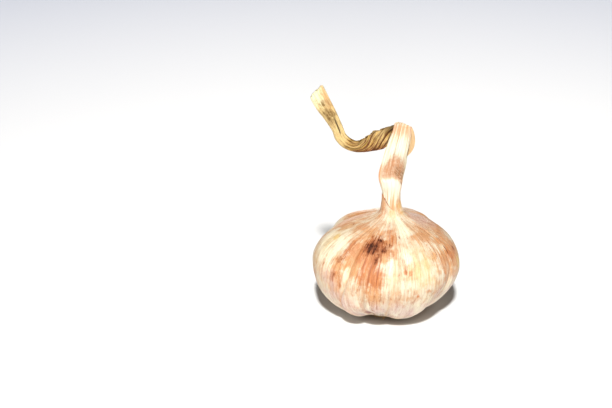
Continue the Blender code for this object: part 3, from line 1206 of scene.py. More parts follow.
@dataclass(frozen=True)
class SkinFinish:
    """Satin papery skin: cream, with tan streaks, rust stains, a dark stain and a pink blush, and
    with painted shade and painted light.

    Attributes:
        white: The palest plain skin.
        pale_and_painted_light: The brightest patches: partly pale skin, partly painted light and
            painted highlight.
        cream: The deeper plain skin.
        tan: The broad tan streaks, also washed into the creases as painted shade.
        rust: The rust stains and specks.
        vein: The thin drawn veins.
        brown: The runs in the stains, the dark stain's rim and the collar's edge, where it is
            partly painted shade of the gap under the edge.
        dark: The dark stain's heart.
        yellow: The straw-yellow patches.
        blush: The pink blush low down.
        purple: The stripes round the root plate.
        lift: Painted bounce light: how much lighter the skin is painted near the ground, in red,
            green and blue.
        roughness: How rough the plain skin is.
        shine: Its specular level.
    """

    white: Colour = tone(262, 251, 224)
    pale_and_painted_light: Colour = tone(280, 268, 234)
    cream: Colour = tone(252, 226, 192)
    tan: Colour = tone(246, 185, 129)
    rust: Colour = tone(227, 145, 88)
    vein: Colour = tone(186, 108, 60)
    brown: Colour = tone(166, 86, 40)
    dark: Colour = tone(70, 28, 4)
    yellow: Colour = tone(264, 224, 142)
    blush: Colour = tone(258, 228, 212)
    purple: Colour = tone(150, 84, 110)
    lift: Colour = (1.38, 1.44, 1.56, 1.0)
    roughness: float = 0.42
    shine: float = 0.28

    def material(self, effects: Effects) -> bpy.types.Material:
        """Draw the finish.

        Args:
            effects: The shared node groups.

        Returns:
            The new material.
        """
        material, graph, shader = new_material("papery_skin")
        brush = FibreBrush(graph, effects)
        stains = {tint: graph.layer(tint.value) for tint in Tint}
        grain = Effects.place(graph, effects.grain, Fine=2600.0, Broad=200.0, Blot=520.0)
        mottle = graph.step(grain.outputs["Mottle"], 0.35, 0.65)
        blotch = grain.outputs["Blotch"]
        wide = brush.streaks(around=13.0, along=0.9, shift=1.7, low=0.40, high=0.62)
        fine = brush.streaks(around=40.0, along=1.2, shift=3.1, low=0.42, high=0.62)
        hair = brush.streaks(around=100.0, along=1.6, shift=7.7, low=0.42, high=0.62)
        veins = brush.veins(around=15.0, along=0.45, shift=5.9, width=0.018)
        threads = brush.veins(around=30.0, along=0.6, shift=2.3, width=0.028)

        soft = graph.sum((wide, 0.40), (fine, 0.20), (mottle, 0.35), (blotch, 0.25))
        colour = graph.mix(graph.step(soft, 0.0, 0.8), self.white, self.cream)
        tan = graph.sum((stains[Tint.TAN], 0.95), (mottle, 0.40), (blotch, 0.45), (wide, 0.30),
                        (fine, 0.25))
        tan = graph.step(tan, 0.65, 1.65)
        colour = graph.mix(tan, colour, self.tan)
        colour = graph.lay(colour, self.blush, (0.45, 1.45), (stains[Tint.BLUSH], 0.9),
                           (mottle, 0.3), (wide, 0.3), (fine, 0.2))
        # The pale patches: partly pale skin, partly painted light and painted highlight.
        colour = graph.lay(colour, self.pale_and_painted_light, (0.0, 0.7), (stains[Tint.PALE], 1.0),
                           (mottle, -0.2), (wide, -0.2), (fine, -0.2))
        colour = graph.lay(colour, self.yellow, (0.35, 1.7), (stains[Tint.YELLOW], 1.0),
                           (wide, 0.25), (mottle, 0.25))
        colour = graph.lay(colour, self.rust, (0.60, 1.60), (stains[Tint.RUST], 1.0),
                           (wide, 0.3), (fine, 0.25), (blotch, 0.45))
        runs = brush.streaks(around=42.0, along=0.8, shift=4.4, low=0.52, high=0.61)
        runs = graph.math("MULTIPLY", runs, graph.sum((stains[Tint.RUST], 0.85), (tan, 0.36)))
        colour = graph.wash(colour, self.brown, runs, 0.72)

        drawn = graph.sum((veins, 0.60), (threads, 0.48), (hair, 0.06))
        drawn = graph.math("MULTIPLY", drawn, graph.sum((tan, 0.60), (mottle, 0.30), (1.0, 0.44)))
        colour = graph.mix(drawn, colour, self.vein)
        # Painted shade: the creases between the lobes are washed darker tan.
        colour = graph.wash(colour, self.tan, graph.layer("crease"), 0.55)
        colour = graph.lay(colour, self.brown, (0.62, 1.40), (stains[Tint.DARK], 1.15),
                           (blotch, 0.35), (fine, 0.35))
        dark = graph.sum((stains[Tint.DARK], 1.0), (blotch, 0.45), (fine, 0.40))
        dark = graph.step(dark, 1.02, 1.60)
        colour = graph.mix(dark, colour, self.dark)

        stripes = brush.streaks(around=18.0, along=0.5, shift=9.1, low=0.5, high=0.62)
        stripes = graph.math("MULTIPLY", graph.layer("under"), stripes)
        colour = graph.wash(colour, self.purple, stripes, 0.55)
        # The collar's edge: brown, partly painted shade of the gap under it.
        colour = graph.wash(colour, self.brown, graph.layer("collar_edge_and_shade"), 0.80)
        spots = Effects.place(graph, effects.spots, Scale=210.0, Size=0.12, Share=0.16)
        colour = graph.wash(colour, self.rust, spots.outputs["Mask"], 0.7)

        # Painted bounce light: the colour is made lighter towards the ground, as if lit from the
        # floor.
        painted_bounce = graph.node("ShaderNodeVectorMath", operation="MULTIPLY")
        graph.feed(painted_bounce.inputs[0], colour)
        graph.feed(painted_bounce.inputs[1], graph.mix(graph.layer("low"), WHITE, self.lift))
        graph.feed(shader.inputs["Base Color"], painted_bounce.outputs[0])
        rough = graph.sum((grain.outputs["Grain"], 0.16), (dark, 0.5), (1.0, self.roughness - 0.08))
        graph.feed(shader.inputs["Roughness"], rough)
        shader.inputs["Specular IOR Level"].default_value = self.shine
        height = graph.sum((hair, 0.4), (fine, 0.6), (veins, 0.8), (threads, 0.6),
                           (grain.outputs["Grain"], 0.35))
        add_relief(graph, shader, height, strength=0.5, depth=0.00012)
        shader.inputs["Subsurface Weight"].default_value = 0.12
        shader.inputs["Subsurface Radius"].default_value = (1.0, 0.55, 0.30)
        shader.inputs["Subsurface Scale"].default_value = 0.0015
        return material


# ----------------------------------------------------------------------------------------------
# Stem and leaf


@dataclass
class DryStem:
    """The flattened, twisted stem: up from the neck, over its fold and down behind.

    Attributes:
        form: The stem's path and sections.
        rings: Rings of the mesh.
        sides: Points in each ring.
        curve_steps: How finely the path is read before its rings are spaced evenly.
        fibre_length: Length of the fibre coordinate from the foot to the end.
        band_proud: How far the twisted band stands proud, in millimetres.
        band_pinch: How far the stem is drawn in just below the band.
        wrinkle_spacing: Distance between the band's slanted wrinkles.
        wrinkle_depth: Height of those wrinkles.
        fold_slant: How far the fold's right side stands above its middle.
    """

    form: StemForm
    rings: int = 420
    sides: int = 120
    curve_steps: int = 900
    fibre_length: float = 7.2
    band_proud: float = 0.95
    band_pinch: float = 0.45
    wrinkle_spacing: float = 1.1
    wrinkle_depth: float = 0.10
    fold_slant: float = 0.85

    def build(self) -> bpy.types.Object:
        """Model the stem as one closed grid.

        Returns:
            The stem.
        """
        rows = even_rows(smooth_rows(self.form.stations, self.curve_steps), self.rings, 3)
        centres = rows[:, :3]
        tangents, widths = carried_frames(centres, Vector((1.0, 0.0, 0.0)))
        throughs = np.cross(tangents, widths)
        twist = np.radians(rows[:, 5])[:, None]
        across = widths * np.cos(twist) + throughs * np.sin(twist)
        through = np.cross(tangents, across)

        every = np.ones((self.rings, self.sides))
        turn = np.linspace(0.0, 2.0 * math.pi, self.sides, endpoint=False)[None, :] * every
        along = np.linspace(0.0, 1.0, self.rings)[:, None] * every
        height = centres[:, 2:3] * every
        cosine, sine = np.cos(turn), np.sin(turn)
        ribs = Ripples(seed=21, fewest=8, most=30, waves=16, drift=1.4).heights(turn, along)
        fine = Ripples(seed=22, fewest=30, most=58, waves=14, drift=1.0).heights(turn, along)
        power = 2.0 / self.form.power
        a = np.sign(cosine) * np.abs(cosine) ** power * rows[:, 3:4] / 2.0
        b = np.sign(sine) * np.abs(sine) ** power * rows[:, 4:5] / 2.0
        a = a * (1.0 + 0.035 * ribs + 0.014 * fine)
        b = b * (1.0 + 0.08 * ribs + 0.035 * fine)
        behind = smooth_step(along, 0.745, 0.80)
        b = b + behind * (0.13 * ribs + 0.05 * fine) * np.sign(sine)

        front, above, below = self.band(cosine, sine, along, height)
        b = b + front * (self.band_proud * above - self.band_pinch * below)
        slope = centres[:, None, 2] + across[:, None, 2] * a + across[:, None, 0] * a
        wander = (centres[:, None, 0] + a) - centres[:, None, 2]
        creased = smooth_step(cosine, -0.2, 0.6)
        wrinkles = np.sin(2.0 * math.pi * slope / self.wrinkle_spacing + 0.8 * np.sin(wander))
        b = b + self.wrinkle_depth * front * above * creased * wrinkles
        points = (centres[:, None, :] + across[:, None, :] * a[..., None]
                  + through[:, None, :] * b[..., None])
        points[..., 2] += self.fold_slant * cosine * bump(along, 0.715, 0.05)

        layers = self.marks(cosine, along, height)
        # The twisted band: tan, partly painted shade.
        layers["band_tan_and_shade"] = above * front * smooth_step(cosine, -0.98, -0.70)
        # The band's deepest part: olive, partly painted shade.
        layers["depth"] = above * front * smooth_step(cosine, -0.30, 0.40) * (
            1.0 - smooth_step(height, 58.5, 64.5))
        # Painted highlight on the tight stretch below the band.
        layers["painted_highlight"] = below * front
        layers["fibre"] = np.stack([cosine, sine, along * self.fibre_length], -1)
        layers["slant"] = np.stack([slope, 0.14 * wander, np.zeros_like(slope)], -1)
        return closed_grid("stem_sheath", points, layers)

    @staticmethod
    def band(cosine: np.ndarray, sine: np.ndarray, along: np.ndarray,
             height: np.ndarray) -> tuple[np.ndarray, np.ndarray, np.ndarray]:
        """Work out the shaded band where the stem twists, and the tight stretch below it.

        Args:
            cosine: Place across the stem's width, -1 at its left and 1 at its right.
            sine: Place through its thickness, -1 in front and 1 behind.
            along: Place along the stem, 0 to 1.
            height: Heights in millimetres.

        Returns:
            How far each place faces the front, how far it is in the band, and how far it is in
            the tight stretch, each 0 to 1.
        """
        front = np.sqrt(np.clip(-sine, 0.0, 1.0)) * (1.0 - smooth_step(along, 0.54, 0.66))
        left, right = np.clip(-cosine, 0.0, 1.0), np.clip(cosine, 0.0, 1.0)
        brink = 56.2 - 3.8 * right ** 1.4
        ceiling = 69.0 - 7.5 * left ** 1.5 - 3.5 * right
        above = smooth_step(height - brink, -0.7, 0.9) * (1.0 - smooth_step(
            height - ceiling, -5.5, 1.0))
        below = bump(height - brink, -2.6, 2.4)
        return front, above, below

    @staticmethod
    def marks(cosine: np.ndarray, along: np.ndarray,
              height: np.ndarray) -> dict[str, np.ndarray]:
        """Mark the places that the finish colours.

        Args:
            cosine: Place across the stem's width, -1 at its left and 1 at its right.
            along: Place along the stem, 0 to 1.
            height: Heights in millimetres.

        Returns:
            Layer name to the strength of its mark.
        """
        over = smooth_step(along, 0.705, 0.735)
        # Painted shade: a thin dark line along the right edge, where a crevice falls into shade.
        rim = smooth_step(cosine, 0.90, 0.985) * smooth_step(height, 64.0, 66.5) * (
            1.0 - smooth_step(height, 67.5, 74.5))
        return {
            "flange": smooth_step(-cosine, 0.66, 0.92) * bump(height, 57.8, 4.6),
            "hood": smooth_step(height, 69.0, 77.0) * (1.0 - over),
            "rim": rim * (1.0 - over),
            "back": over,
            "foot": 1.0 - smooth_step(height, 47.0, 54.0),
            "strip": smooth_step(cosine, 0.45, 0.90) * bump(height, 50.5, 5.0),
        }


@dataclass(frozen=True)
class StemFinish:
    """Bright straw with lengthwise fibres, tan where it twists and at the fold, with painted shade
    and a painted highlight at the twist.

    Attributes:
        bright: The palest straw, also laid as the painted highlight below the twisted band.
        straw: The deeper plain straw.
        peach: The foot and the strip up its right side.
        tan: The twisted band, partly tan and partly painted shade, and the thin lines.
        olive: The band's deepest part, partly olive and partly painted shade.
        blush: The left flange and the top of the fold.
        gold: The stretch behind the fold.
        brown: The wrinkles' specks, and the painted shade of the crevice along the fold's right
            edge.
        roughness: How rough the straw is.
        shine: Its specular level.
    """

    bright: Colour = tone(270, 265, 240)
    straw: Colour = tone(253, 230, 176)
    peach: Colour = tone(252, 188, 132)
    tan: Colour = tone(224, 162, 116)
    olive: Colour = tone(196, 144, 90)
    blush: Colour = tone(242, 176, 124)
    gold: Colour = tone(264, 220, 160)
    brown: Colour = tone(120, 70, 34)
    roughness: float = 0.48
    shine: float = 0.3

    def material(self, effects: Effects) -> bpy.types.Material:
        """Draw the finish.

        Args:
            effects: The shared node groups.

        Returns:
            The new material.
        """
        material, graph, shader = new_material("dry_stem_straw")
        brush = FibreBrush(graph, effects)
        slanted = FibreBrush(graph, effects, "slant")
        grain = Effects.place(graph, effects.grain, Fine=3200.0, Broad=320.0, Blot=900.0)
        blotch = grain.outputs["Blotch"]
        fine = brush.streaks(around=15.0, along=0.6, shift=2.3, low=0.42, high=0.62)
        wide = brush.streaks(around=5.0, along=0.5, shift=4.9, low=0.42, high=0.60)
        lines = brush.streaks(around=9.0, along=0.4, shift=8.7, low=0.52, high=0.62)
        threads = brush.veins(around=9.0, along=0.5, shift=6.7, width=0.03)
        wrinkles = slanted.streaks(around=1.5, along=1.0, shift=3.3, low=0.47, high=0.60)

        soft = graph.sum((wide, 0.6), (fine, 0.4))
        colour = graph.mix(graph.step(soft, 0.32, 1.2), self.bright, self.straw)
        colour = graph.lay(colour, self.peach, (0.65, 1.5), (graph.layer("foot"), 0.8),
                           (wide, 0.5), (lines, 0.4))
        colour = graph.lay(colour, self.peach, (0.25, 1.2), (graph.layer("strip"), 1.0),
                           (fine, 0.3))
        # The twisted band: tan, partly painted shade.
        colour = graph.lay(colour, self.tan, (0.45, 1.55), (graph.layer("band_tan_and_shade"), 1.1),
                           (fine, 0.35), (blotch, 0.3))
        # The band's deepest part: olive, partly painted shade.
        colour = graph.lay(colour, self.olive, (0.75, 1.75), (graph.layer("depth"), 1.0),
                           (fine, 0.3), (wrinkles, 0.5))
        colour = graph.lay(colour, self.blush, (0.3, 1.3), (graph.layer("flange"), 1.0),
                           (fine, 0.3))
        colour = graph.lay(colour, self.blush, (0.42, 1.50), (graph.layer("hood"), 1.0),
                           (lines, 0.6), (fine, 0.45))
        colour = graph.lay(colour, self.gold, (0.2, 1.3), (graph.layer("back"), 1.0),
                           (fine, 0.3))
        thin = graph.sum((lines, 0.30), (threads, 0.25), (graph.layer("band_tan_and_shade"), 0.2))
        colour = graph.mix(graph.math("MULTIPLY", thin, lines), colour, self.tan)
        specks = graph.math("MULTIPLY", graph.sum((wrinkles, 0.7), (blotch, 0.3)),
                            graph.layer("depth"))
        colour = graph.wash(colour, self.brown, specks, 0.65)
        # Painted highlight on the stretch below the twisted band.
        colour = graph.wash(colour, self.bright, graph.layer("painted_highlight"), 0.7)
        # Painted shade along the crevice at the right edge.
        colour = graph.wash(colour, self.brown, graph.layer("rim"), 0.75)

        graph.feed(shader.inputs["Base Color"], colour)
        shader.inputs["Roughness"].default_value = self.roughness
        shader.inputs["Specular IOR Level"].default_value = self.shine
        height = graph.sum((fine, 1.0), (lines, 0.8), (grain.outputs["Grain"], 0.3))
        add_relief(graph, shader, height, strength=0.5, depth=0.00015)
        return material


@dataclass
class DryLeaf:
    """The long leaf: a curled sheet from the fold, down its sag, up to a ragged tip.

    Attributes:
        stations: x, y, z, width, thickness and how far the sheet curls round, in degrees each
            way, from its root inside the fold to its tip.
        sheet: Thickness of the sheet itself, in millimetres.
        winding: How far the ribs wind round the leaf, in radians.
        winding_span: Stretch of the leaf over which they wind, as places along it.
        rings: Rings of the mesh.
        columns: Points across each face of the sheet.
        curve_steps: How finely the path is read before its rings are spaced evenly.
        fibre_length: Length of the fibre coordinate from root to tip.
        teeth: How many teeth the ragged tip has, with the gaps between them.
        slit_share: Place of the slit across the sheet, -1 to 1.
        slit_lean: How far the slit leans across the sheet along the leaf.
        slit_depth: How deep it is pressed in, in millimetres.
    """

    stations: Rows = (
        (5.4, 3.6, 74.4, 4.6, 0.9, 150.0), (1.6, 3.6, 73.9, 6.8, 1.2, 150.0),
        (-1.6, 3.7, 72.1, 7.4, 2.0, 152.0), (-4.6, 3.9, 70.6, 7.8, 2.7, 154.0),
        (-8.1, 4.0, 68.9, 6.0, 2.9, 156.0), (-12.0, 4.0, 68.1, 4.6, 2.9, 158.0),
        (-15.6, 4.0, 69.3, 4.7, 2.8, 158.0), (-18.2, 4.0, 72.0, 4.8, 2.5, 154.0),
        (-19.5, 4.0, 75.4, 4.7, 2.2, 150.0), (-22.3, 4.0, 80.9, 5.8, 1.9, 148.0),
        (-24.9, 4.0, 85.5, 7.0, 1.5, 144.0), (-28.2, 4.0, 92.2, 7.6, 0.8, 138.0),
    )
    sheet: float = 0.28
    winding: float = 3.0
    winding_span: Pair = (0.02, 0.48)
    rings: int = 420
    columns: int = 90
    curve_steps: int = 900
    fibre_length: float = 7.5
    teeth: int = 23
    slit_share: float = -0.65
    slit_lean: float = -0.55
    slit_depth: float = 0.55

    def build(self) -> bpy.types.Object:
        """Model the leaf as one closed grid: its outer face out and its inner face back.

        Returns:
            The leaf.
        """
        rows = even_rows(smooth_rows(self.stations, self.curve_steps), self.rings, 3)
        share = np.linspace(-1.0, 1.0, self.columns)
        heights = np.random.default_rng(31).uniform(0.0, 1.0, self.teeth)
        teeth = np.interp(share, np.linspace(-1.0, 1.0, self.teeth), heights)
        ragged = 1.0 - 0.035 * teeth ** 2 - 0.070 * (1.0 - np.abs(share))
        outer = self.face(rows, share, ragged, 0.0)
        inner = self.face(rows, share[::-1], ragged[::-1], self.sheet)
        points = np.concatenate([outer, inner], 1)

        every = np.ones((self.rings, 2 * self.columns))
        around = np.concatenate([share, share[::-1]])[None, :] * every
        face = np.repeat((0.0, 1.0), self.columns)[None, :] * every
        along = np.linspace(0.0, 1.0, self.rings)[:, None] * every
        wound = around * 1.6 - self.winding * 0.62 * smooth_step(along, *self.winding_span)
        place, reach = self.slit_place(along), self.slit_window(along)
        layers = {
            "fibre": np.stack([wound, face * 3.0, along * self.fibre_length], -1),
            "tip": smooth_step(along - 0.05 * (1.0 - np.abs(around)), 0.77, 0.96),
            "rise": smooth_step(along, 0.43, 0.56),
            "smudge": bump(along, 0.785, 0.095) * bump(around, -0.54, 0.40),
            "warm": bump(around, 0.0, 0.45) * bump(along, 0.30, 0.16),
            "glow": bump(around, -0.86, 0.22) * bump(along, 0.90, 0.12),
            "slit": bump(around, place, 0.045) * reach,
            "strip": bump(around, place - 0.13, 0.09) * reach,
            # Painted shade on the root inside the fold.
            "root": 1.0 - smooth_step(along, 0.07, 0.15),
            # Painted light just past the fold, where the fold's shadow falls.
            "near": bump(along, 0.18, 0.05),
        }
        return closed_grid("leaf_blade", points, layers)

    def slit_place(self, along: np.ndarray) -> np.ndarray:
        """Return where across the sheet the slit lies at each place along the leaf."""
        return self.slit_share + self.slit_lean * (along - 0.60)

    @staticmethod
    def slit_window(along: np.ndarray) -> np.ndarray:
        """Return 1 on the stretch of the leaf that its slit runs along, fading at the ends."""
        return smooth_step(along, 0.580, 0.610) * (1.0 - smooth_step(along, 0.70, 0.75))

    def face(self, rows: np.ndarray, share: np.ndarray, ragged: np.ndarray,
             inset: float) -> np.ndarray:
        """Sweep one face of the curled sheet.

        Args:
            rows: Stations read evenly along the path.
            share: Places across the sheet, -1 at its front edge and 1 at its back edge.
            ragged: How far along the path each place across reaches, near 1.
            inset: How far the face lies inside the outer face, in millimetres.

        Returns:
            Points of the face, ring by ring.
        """
        length = np.linspace(0.0, 1.0, self.rings)[:, None] * ragged[None, :]
        places = length * (self.rings - 1)
        low = np.minimum(places.astype(int), self.rings - 2)
        part = (places - low)[..., None]
        tangents, widths = carried_frames(rows[:, :3], Vector((0.0, 0.0, 1.0)))
        throughs = np.cross(tangents, widths)
        table = np.concatenate([rows[:, :3], widths, throughs, rows[:, 3:]], 1)
        values = table[low] * (1.0 - part) + table[low + 1] * part
        centre, across, through = values[..., 0:3], values[..., 3:6], values[..., 6:9]
        width, thickness, curl = values[..., 9], values[..., 10], values[..., 11]

        theta = share[None, :] * np.radians(curl)
        wound = theta - self.winding * smooth_step(length, *self.winding_span)
        ribs = Ripples(seed=41, fewest=5, most=14, waves=9, drift=1.2).heights(wound, length)
        fine = Ripples(seed=42, fewest=16, most=40, waves=18, drift=1.0).heights(wound, length)
        strength = 0.50 + 0.70 * bump(length, 0.22, 0.15) + 0.35 * bump(length, 0.46, 0.06)
        slit = bump(share[None, :], self.slit_place(length), 0.035) * self.slit_window(length)
        calm = 1.0 - 0.6 * smooth_step(length, 0.5, 0.62)
        relief = strength * (0.30 * ribs + 0.16 * calm * fine) - self.slit_depth * slit - inset
        a = -np.cos(theta) * (width / 2.0 + relief)
        b = np.sin(theta) * (thickness / 2.0 + relief)
        return centre + across * a[..., None] + through * b[..., None]


@dataclass(frozen=True)
class LeafFinish:
    """Olive-brown dry leaf with strong ribs, fading to a pale straw tip, with painted light and
    painted shade near the fold.

    Attributes:
        olive: The darker streaks of the trough.
        gold: The lighter streaks of the trough.
        brown: The drawn lines between the ribs.
        rust: The warm middle of the trough.
        smoke: The smudge below the tip.
        amber: The glow along the tip's front edge.
        straw: The rising part, the bright streaks, and the painted light just past the fold.
        pale: The tip.
        dark: The slit, and the painted shade on the root inside the fold.
        roughness: How rough the leaf is.
        shine: Its specular level.
    """

    olive: Colour = tone(140, 106, 34)
    gold: Colour = tone(226, 176, 80)
    brown: Colour = tone(112, 52, 12)
    rust: Colour = tone(206, 120, 54)
    smoke: Colour = tone(136, 100, 42)
    amber: Colour = tone(246, 190, 124)
    straw: Colour = tone(264, 230, 160)
    pale: Colour = tone(284, 276, 224)
    dark: Colour = tone(52, 32, 8)
    roughness: float = 0.55
    shine: float = 0.25

    def material(self, effects: Effects) -> bpy.types.Material:
        """Draw the finish.

        Args:
            effects: The shared node groups.

        Returns:
            The new material.
        """
        material, graph, shader = new_material("dry_leaf_ribs")
        brush = FibreBrush(graph, effects)
        grain = Effects.place(graph, effects.grain, Fine=3000.0, Broad=260.0, Blot=420.0)
        blotch = grain.outputs["Blotch"]
        fine = brush.streaks(around=14.0, along=0.9, shift=6.1, low=0.45, high=0.58)
        wide = brush.streaks(around=4.5, along=0.7, shift=2.9, low=0.42, high=0.58)
        lines = brush.streaks(around=8.0, along=0.6, shift=1.3, low=0.51, high=0.57)
        bright = brush.streaks(around=9.0, along=0.5, shift=8.3, low=0.54, high=0.62)
        threads = brush.veins(around=11.0, along=0.7, shift=4.3, width=0.05)

        colour = graph.mix(wide, self.gold, self.olive)
        # Painted light just past the fold, where the fold's shadow falls.
        colour = graph.wash(colour, self.straw, graph.layer("near"), 0.45)
        colour = graph.lay(colour, self.rust, (0.5, 1.4), (graph.layer("warm"), 1.2),
                           (blotch, 0.4), (fine, 0.45))
        colour = graph.wash(colour, self.straw, fine, 0.30)
        colour = graph.wash(colour, self.straw, bright, 0.45)
        colour = graph.lay(colour, self.straw, (0.0, 1.0), (graph.layer("rise"), 1.25),
                           (wide, -0.30), (blotch, -0.20))
        drawn = graph.sum((lines, 0.85), (threads, 0.60), (graph.layer("rise"), -0.78))
        colour = graph.mix(graph.math("MAXIMUM", drawn, 0.0), colour, self.brown)
        colour = graph.lay(colour, self.pale, (0.0, 1.0), (graph.layer("tip"), 1.3),
                           (wide, -0.3), (fine, -0.2))
        colour = graph.lay(colour, self.amber, (0.2, 1.3), (graph.layer("glow"), 1.0),
                           (fine, 0.3), (wide, 0.2))
        colour = graph.lay(colour, self.smoke, (0.42, 1.60), (graph.layer("smudge"), 1.0),
                           (blotch, 0.6), (wide, 0.3))
        colour = graph.mix(graph.layer("strip"), colour, self.straw)
        colour = graph.mix(graph.layer("slit"), colour, self.dark)
        # Painted shade on the root inside the fold.
        colour = graph.wash(colour, self.dark, graph.layer("root"), 0.8)

        graph.feed(shader.inputs["Base Color"], colour)
        shader.inputs["Roughness"].default_value = self.roughness
        shader.inputs["Specular IOR Level"].default_value = self.shine
        height = graph.sum((fine, 1.0), (lines, 1.0), (grain.outputs["Grain"], 0.4))
        add_relief(graph, shader, height, strength=0.6, depth=0.00018)
        return material


# ----------------------------------------------------------------------------------------------
# Root plate


@dataclass
class RootPlate:
    """The corky disc and its ring of dry root stubs.

    Attributes:
        radius: Radius of the disc in millimetres.
        height: Height of the disc in millimetres.
        rings: Rings of the disc's mesh.
        sides: Points in each of those rings.
        stubs: How many root stubs stand round its rim.
        stub_rings: Rings along each stub.
        stub_sides: Points in each of those rings.
        stub_length: Shortest and longest stub, in millimetres.
        stub_thick: Thinnest and thickest radius of a stub where it starts.
    """

    radius: float
    height: float
    rings: int = 90
    sides: int = 180
    stubs: int = 110
    stub_rings: int = 6
    stub_sides: int = 8
    stub_length: Pair = (0.7, 2.4)
    stub_thick: Pair = (0.16, 0.34)

    def build_disc(self) -> bpy.types.Object:
        """Model the rough disc, flat where it rests.

        Returns:
            The disc.
        """
        rim, tall = self.radius, self.height
        outline = np.array([
            (0.3, 0.35), (rim * 0.45, 0.30), (rim * 0.70, 0.05), (rim * 0.90, 0.0),
            (rim * 0.97, 0.5), (rim, 1.1), (rim * 0.97, 1.9), (rim * 0.85, tall),
            (rim * 0.4, tall), (0.3, tall),
        ])
        rows = even_rows(outline, self.rings, 2)
        every = np.ones((self.rings, self.sides))
        turn = np.linspace(0.0, 2.0 * math.pi, self.sides, endpoint=False)[None, :] * every
        along = np.linspace(0.0, 1.0, self.rings)[:, None] * every
        rough = Ripples(seed=51, fewest=7, most=60, waves=30, drift=9.0).heights(turn, along)
        side = smooth_step(rows[:, :1], rim * 0.55, rim * 0.9)
        reach = rows[:, :1] - 0.22 * np.abs(rough) * side
        rise = np.abs(rough) * 0.12 * smooth_step(rows[:, 1:2], 2.0, 0.0) * (1.0 - 0.8 * side)
        z = np.clip(rows[:, 1:2] + rise, 0.0, None)
        points = np.stack([reach * np.cos(turn), reach * np.sin(turn), z], -1)
        fibre = np.stack([np.cos(turn), np.sin(turn), along * 2.0], -1)
        return closed_grid("root_plate_cork", points, {"fibre": fibre})

    def build_stubs(self) -> bpy.types.Object:
        """Model the short dry roots as tapered bent stubs in one piece.

        Returns:
            The stubs.
        """
        draw = np.random.default_rng(61)
        vertices, faces = [], []
        for index in range(self.stubs):
            turn = 2.0 * math.pi * (index + draw.uniform(-0.4, 0.4)) / self.stubs
            faces += self.stub_faces(len(vertices))
            vertices += self.stub_points(draw, turn)
        mesh = bpy.data.meshes.new("root_stubs")
        mesh.from_pydata(vertices, [], faces)
        mesh.shade_smooth()
        piece = bpy.data.objects.new("root_stubs", mesh)
        bpy.context.scene.collection.objects.link(piece)
        return piece

    def stub_points(self, draw: np.random.Generator, turn: float) -> list[Triple]:
        """Place the points of one stub, ring by ring from the disc outwards.

        Args:
            draw: The source of random draws.
            turn: Where the stub stands round the disc, in radians.

        Returns:
            Its points in metres.
        """
        out = Vector((math.cos(turn), math.sin(turn), 0.0))
        start = out * (self.radius * draw.uniform(0.90, 0.985)) + Vector(
            (0.0, 0.0, draw.uniform(0.5, 1.5)))
        length = draw.uniform(*self.stub_length)
        thick = draw.uniform(*self.stub_thick)
        lean = Vector((draw.normal(0, 0.35), draw.normal(0, 0.35), draw.normal(-0.05, 0.22)))
        curl = Vector((draw.normal(0, 0.5), draw.normal(0, 0.5), draw.normal(0.1, 0.25)))
        floor_gap, taper = 0.04, 0.45
        points = []
        for step in range(self.stub_rings):
            share = step / (self.stub_rings - 1)
            way = (out + lean + curl * share).normalized()
            centre = start + way * (length * share)
            centre.z = max(centre.z, thick + floor_gap)
            side = way.cross(Vector((0.0, 0.0, 1.0))).normalized()
            rise = side.cross(way)
            size = thick * (1.0 - taper * share) * draw.uniform(0.85, 1.15)
            for corner in range(self.stub_sides):
                angle = 2.0 * math.pi * corner / self.stub_sides
                spoke = side * math.cos(angle) + rise * math.sin(angle)
                points.append(tuple((centre + spoke * size) * MM))
        return points

    def stub_faces(self, base: int) -> list[tuple[int, ...]]:
        """List the faces of one stub: its sides and its two flat ends.

        Args:
            base: Number of its first point.

        Returns:
            The point numbers of each face.
        """
        sides = self.stub_sides
        faces = []
        for step in range(self.stub_rings - 1):
            for corner in range(sides):
                a = base + step * sides + corner
                b = base + step * sides + (corner + 1) % sides
                faces.append((a, a + sides, b + sides, b))
        last = base + (self.stub_rings - 1) * sides
        faces.append(tuple(range(base, base + sides)))
        faces.append(tuple(reversed(range(last, last + sides))))
        return faces


@dataclass(frozen=True)
class CorkFinish:
    """Crumbly matte cork with dark specks.

    Attributes:
        light: The crumbs.
        deep: The hollows between them.
        dark: The specks.
        roughness: How rough the cork is.
    """

    light: Colour = tone(216, 178, 122)
    deep: Colour = tone(158, 112, 62)
    dark: Colour = tone(70, 46, 28)
    roughness: float = 0.9

    def material(self, effects: Effects) -> bpy.types.Material:
        """Draw the finish.

        Args:
            effects: The shared node groups.

        Returns:
            The new material.
        """
        material, graph, shader = new_material("root_cork_crumbs")
        grain = Effects.place(graph, effects.grain, Fine=1400.0, Broad=420.0)
        spots = Effects.place(graph, effects.spots, Scale=900.0, Size=0.42, Share=0.30)
        colour = graph.mix(grain.outputs["Mottle"], self.light, self.deep)
        colour = graph.wash(colour, self.light, grain.outputs["Grain"], 0.5)
        colour = graph.wash(colour, self.dark, spots.outputs["Mask"], 0.8)
        graph.feed(shader.inputs["Base Color"], colour)
        shader.inputs["Roughness"].default_value = self.roughness
        height = graph.free_math("SUBTRACT", grain.outputs["Grain"], spots.outputs["Mask"])
        add_relief(graph, shader, height, strength=0.8, depth=0.0003)
        return material


# ----------------------------------------------------------------------------------------------
# Studio


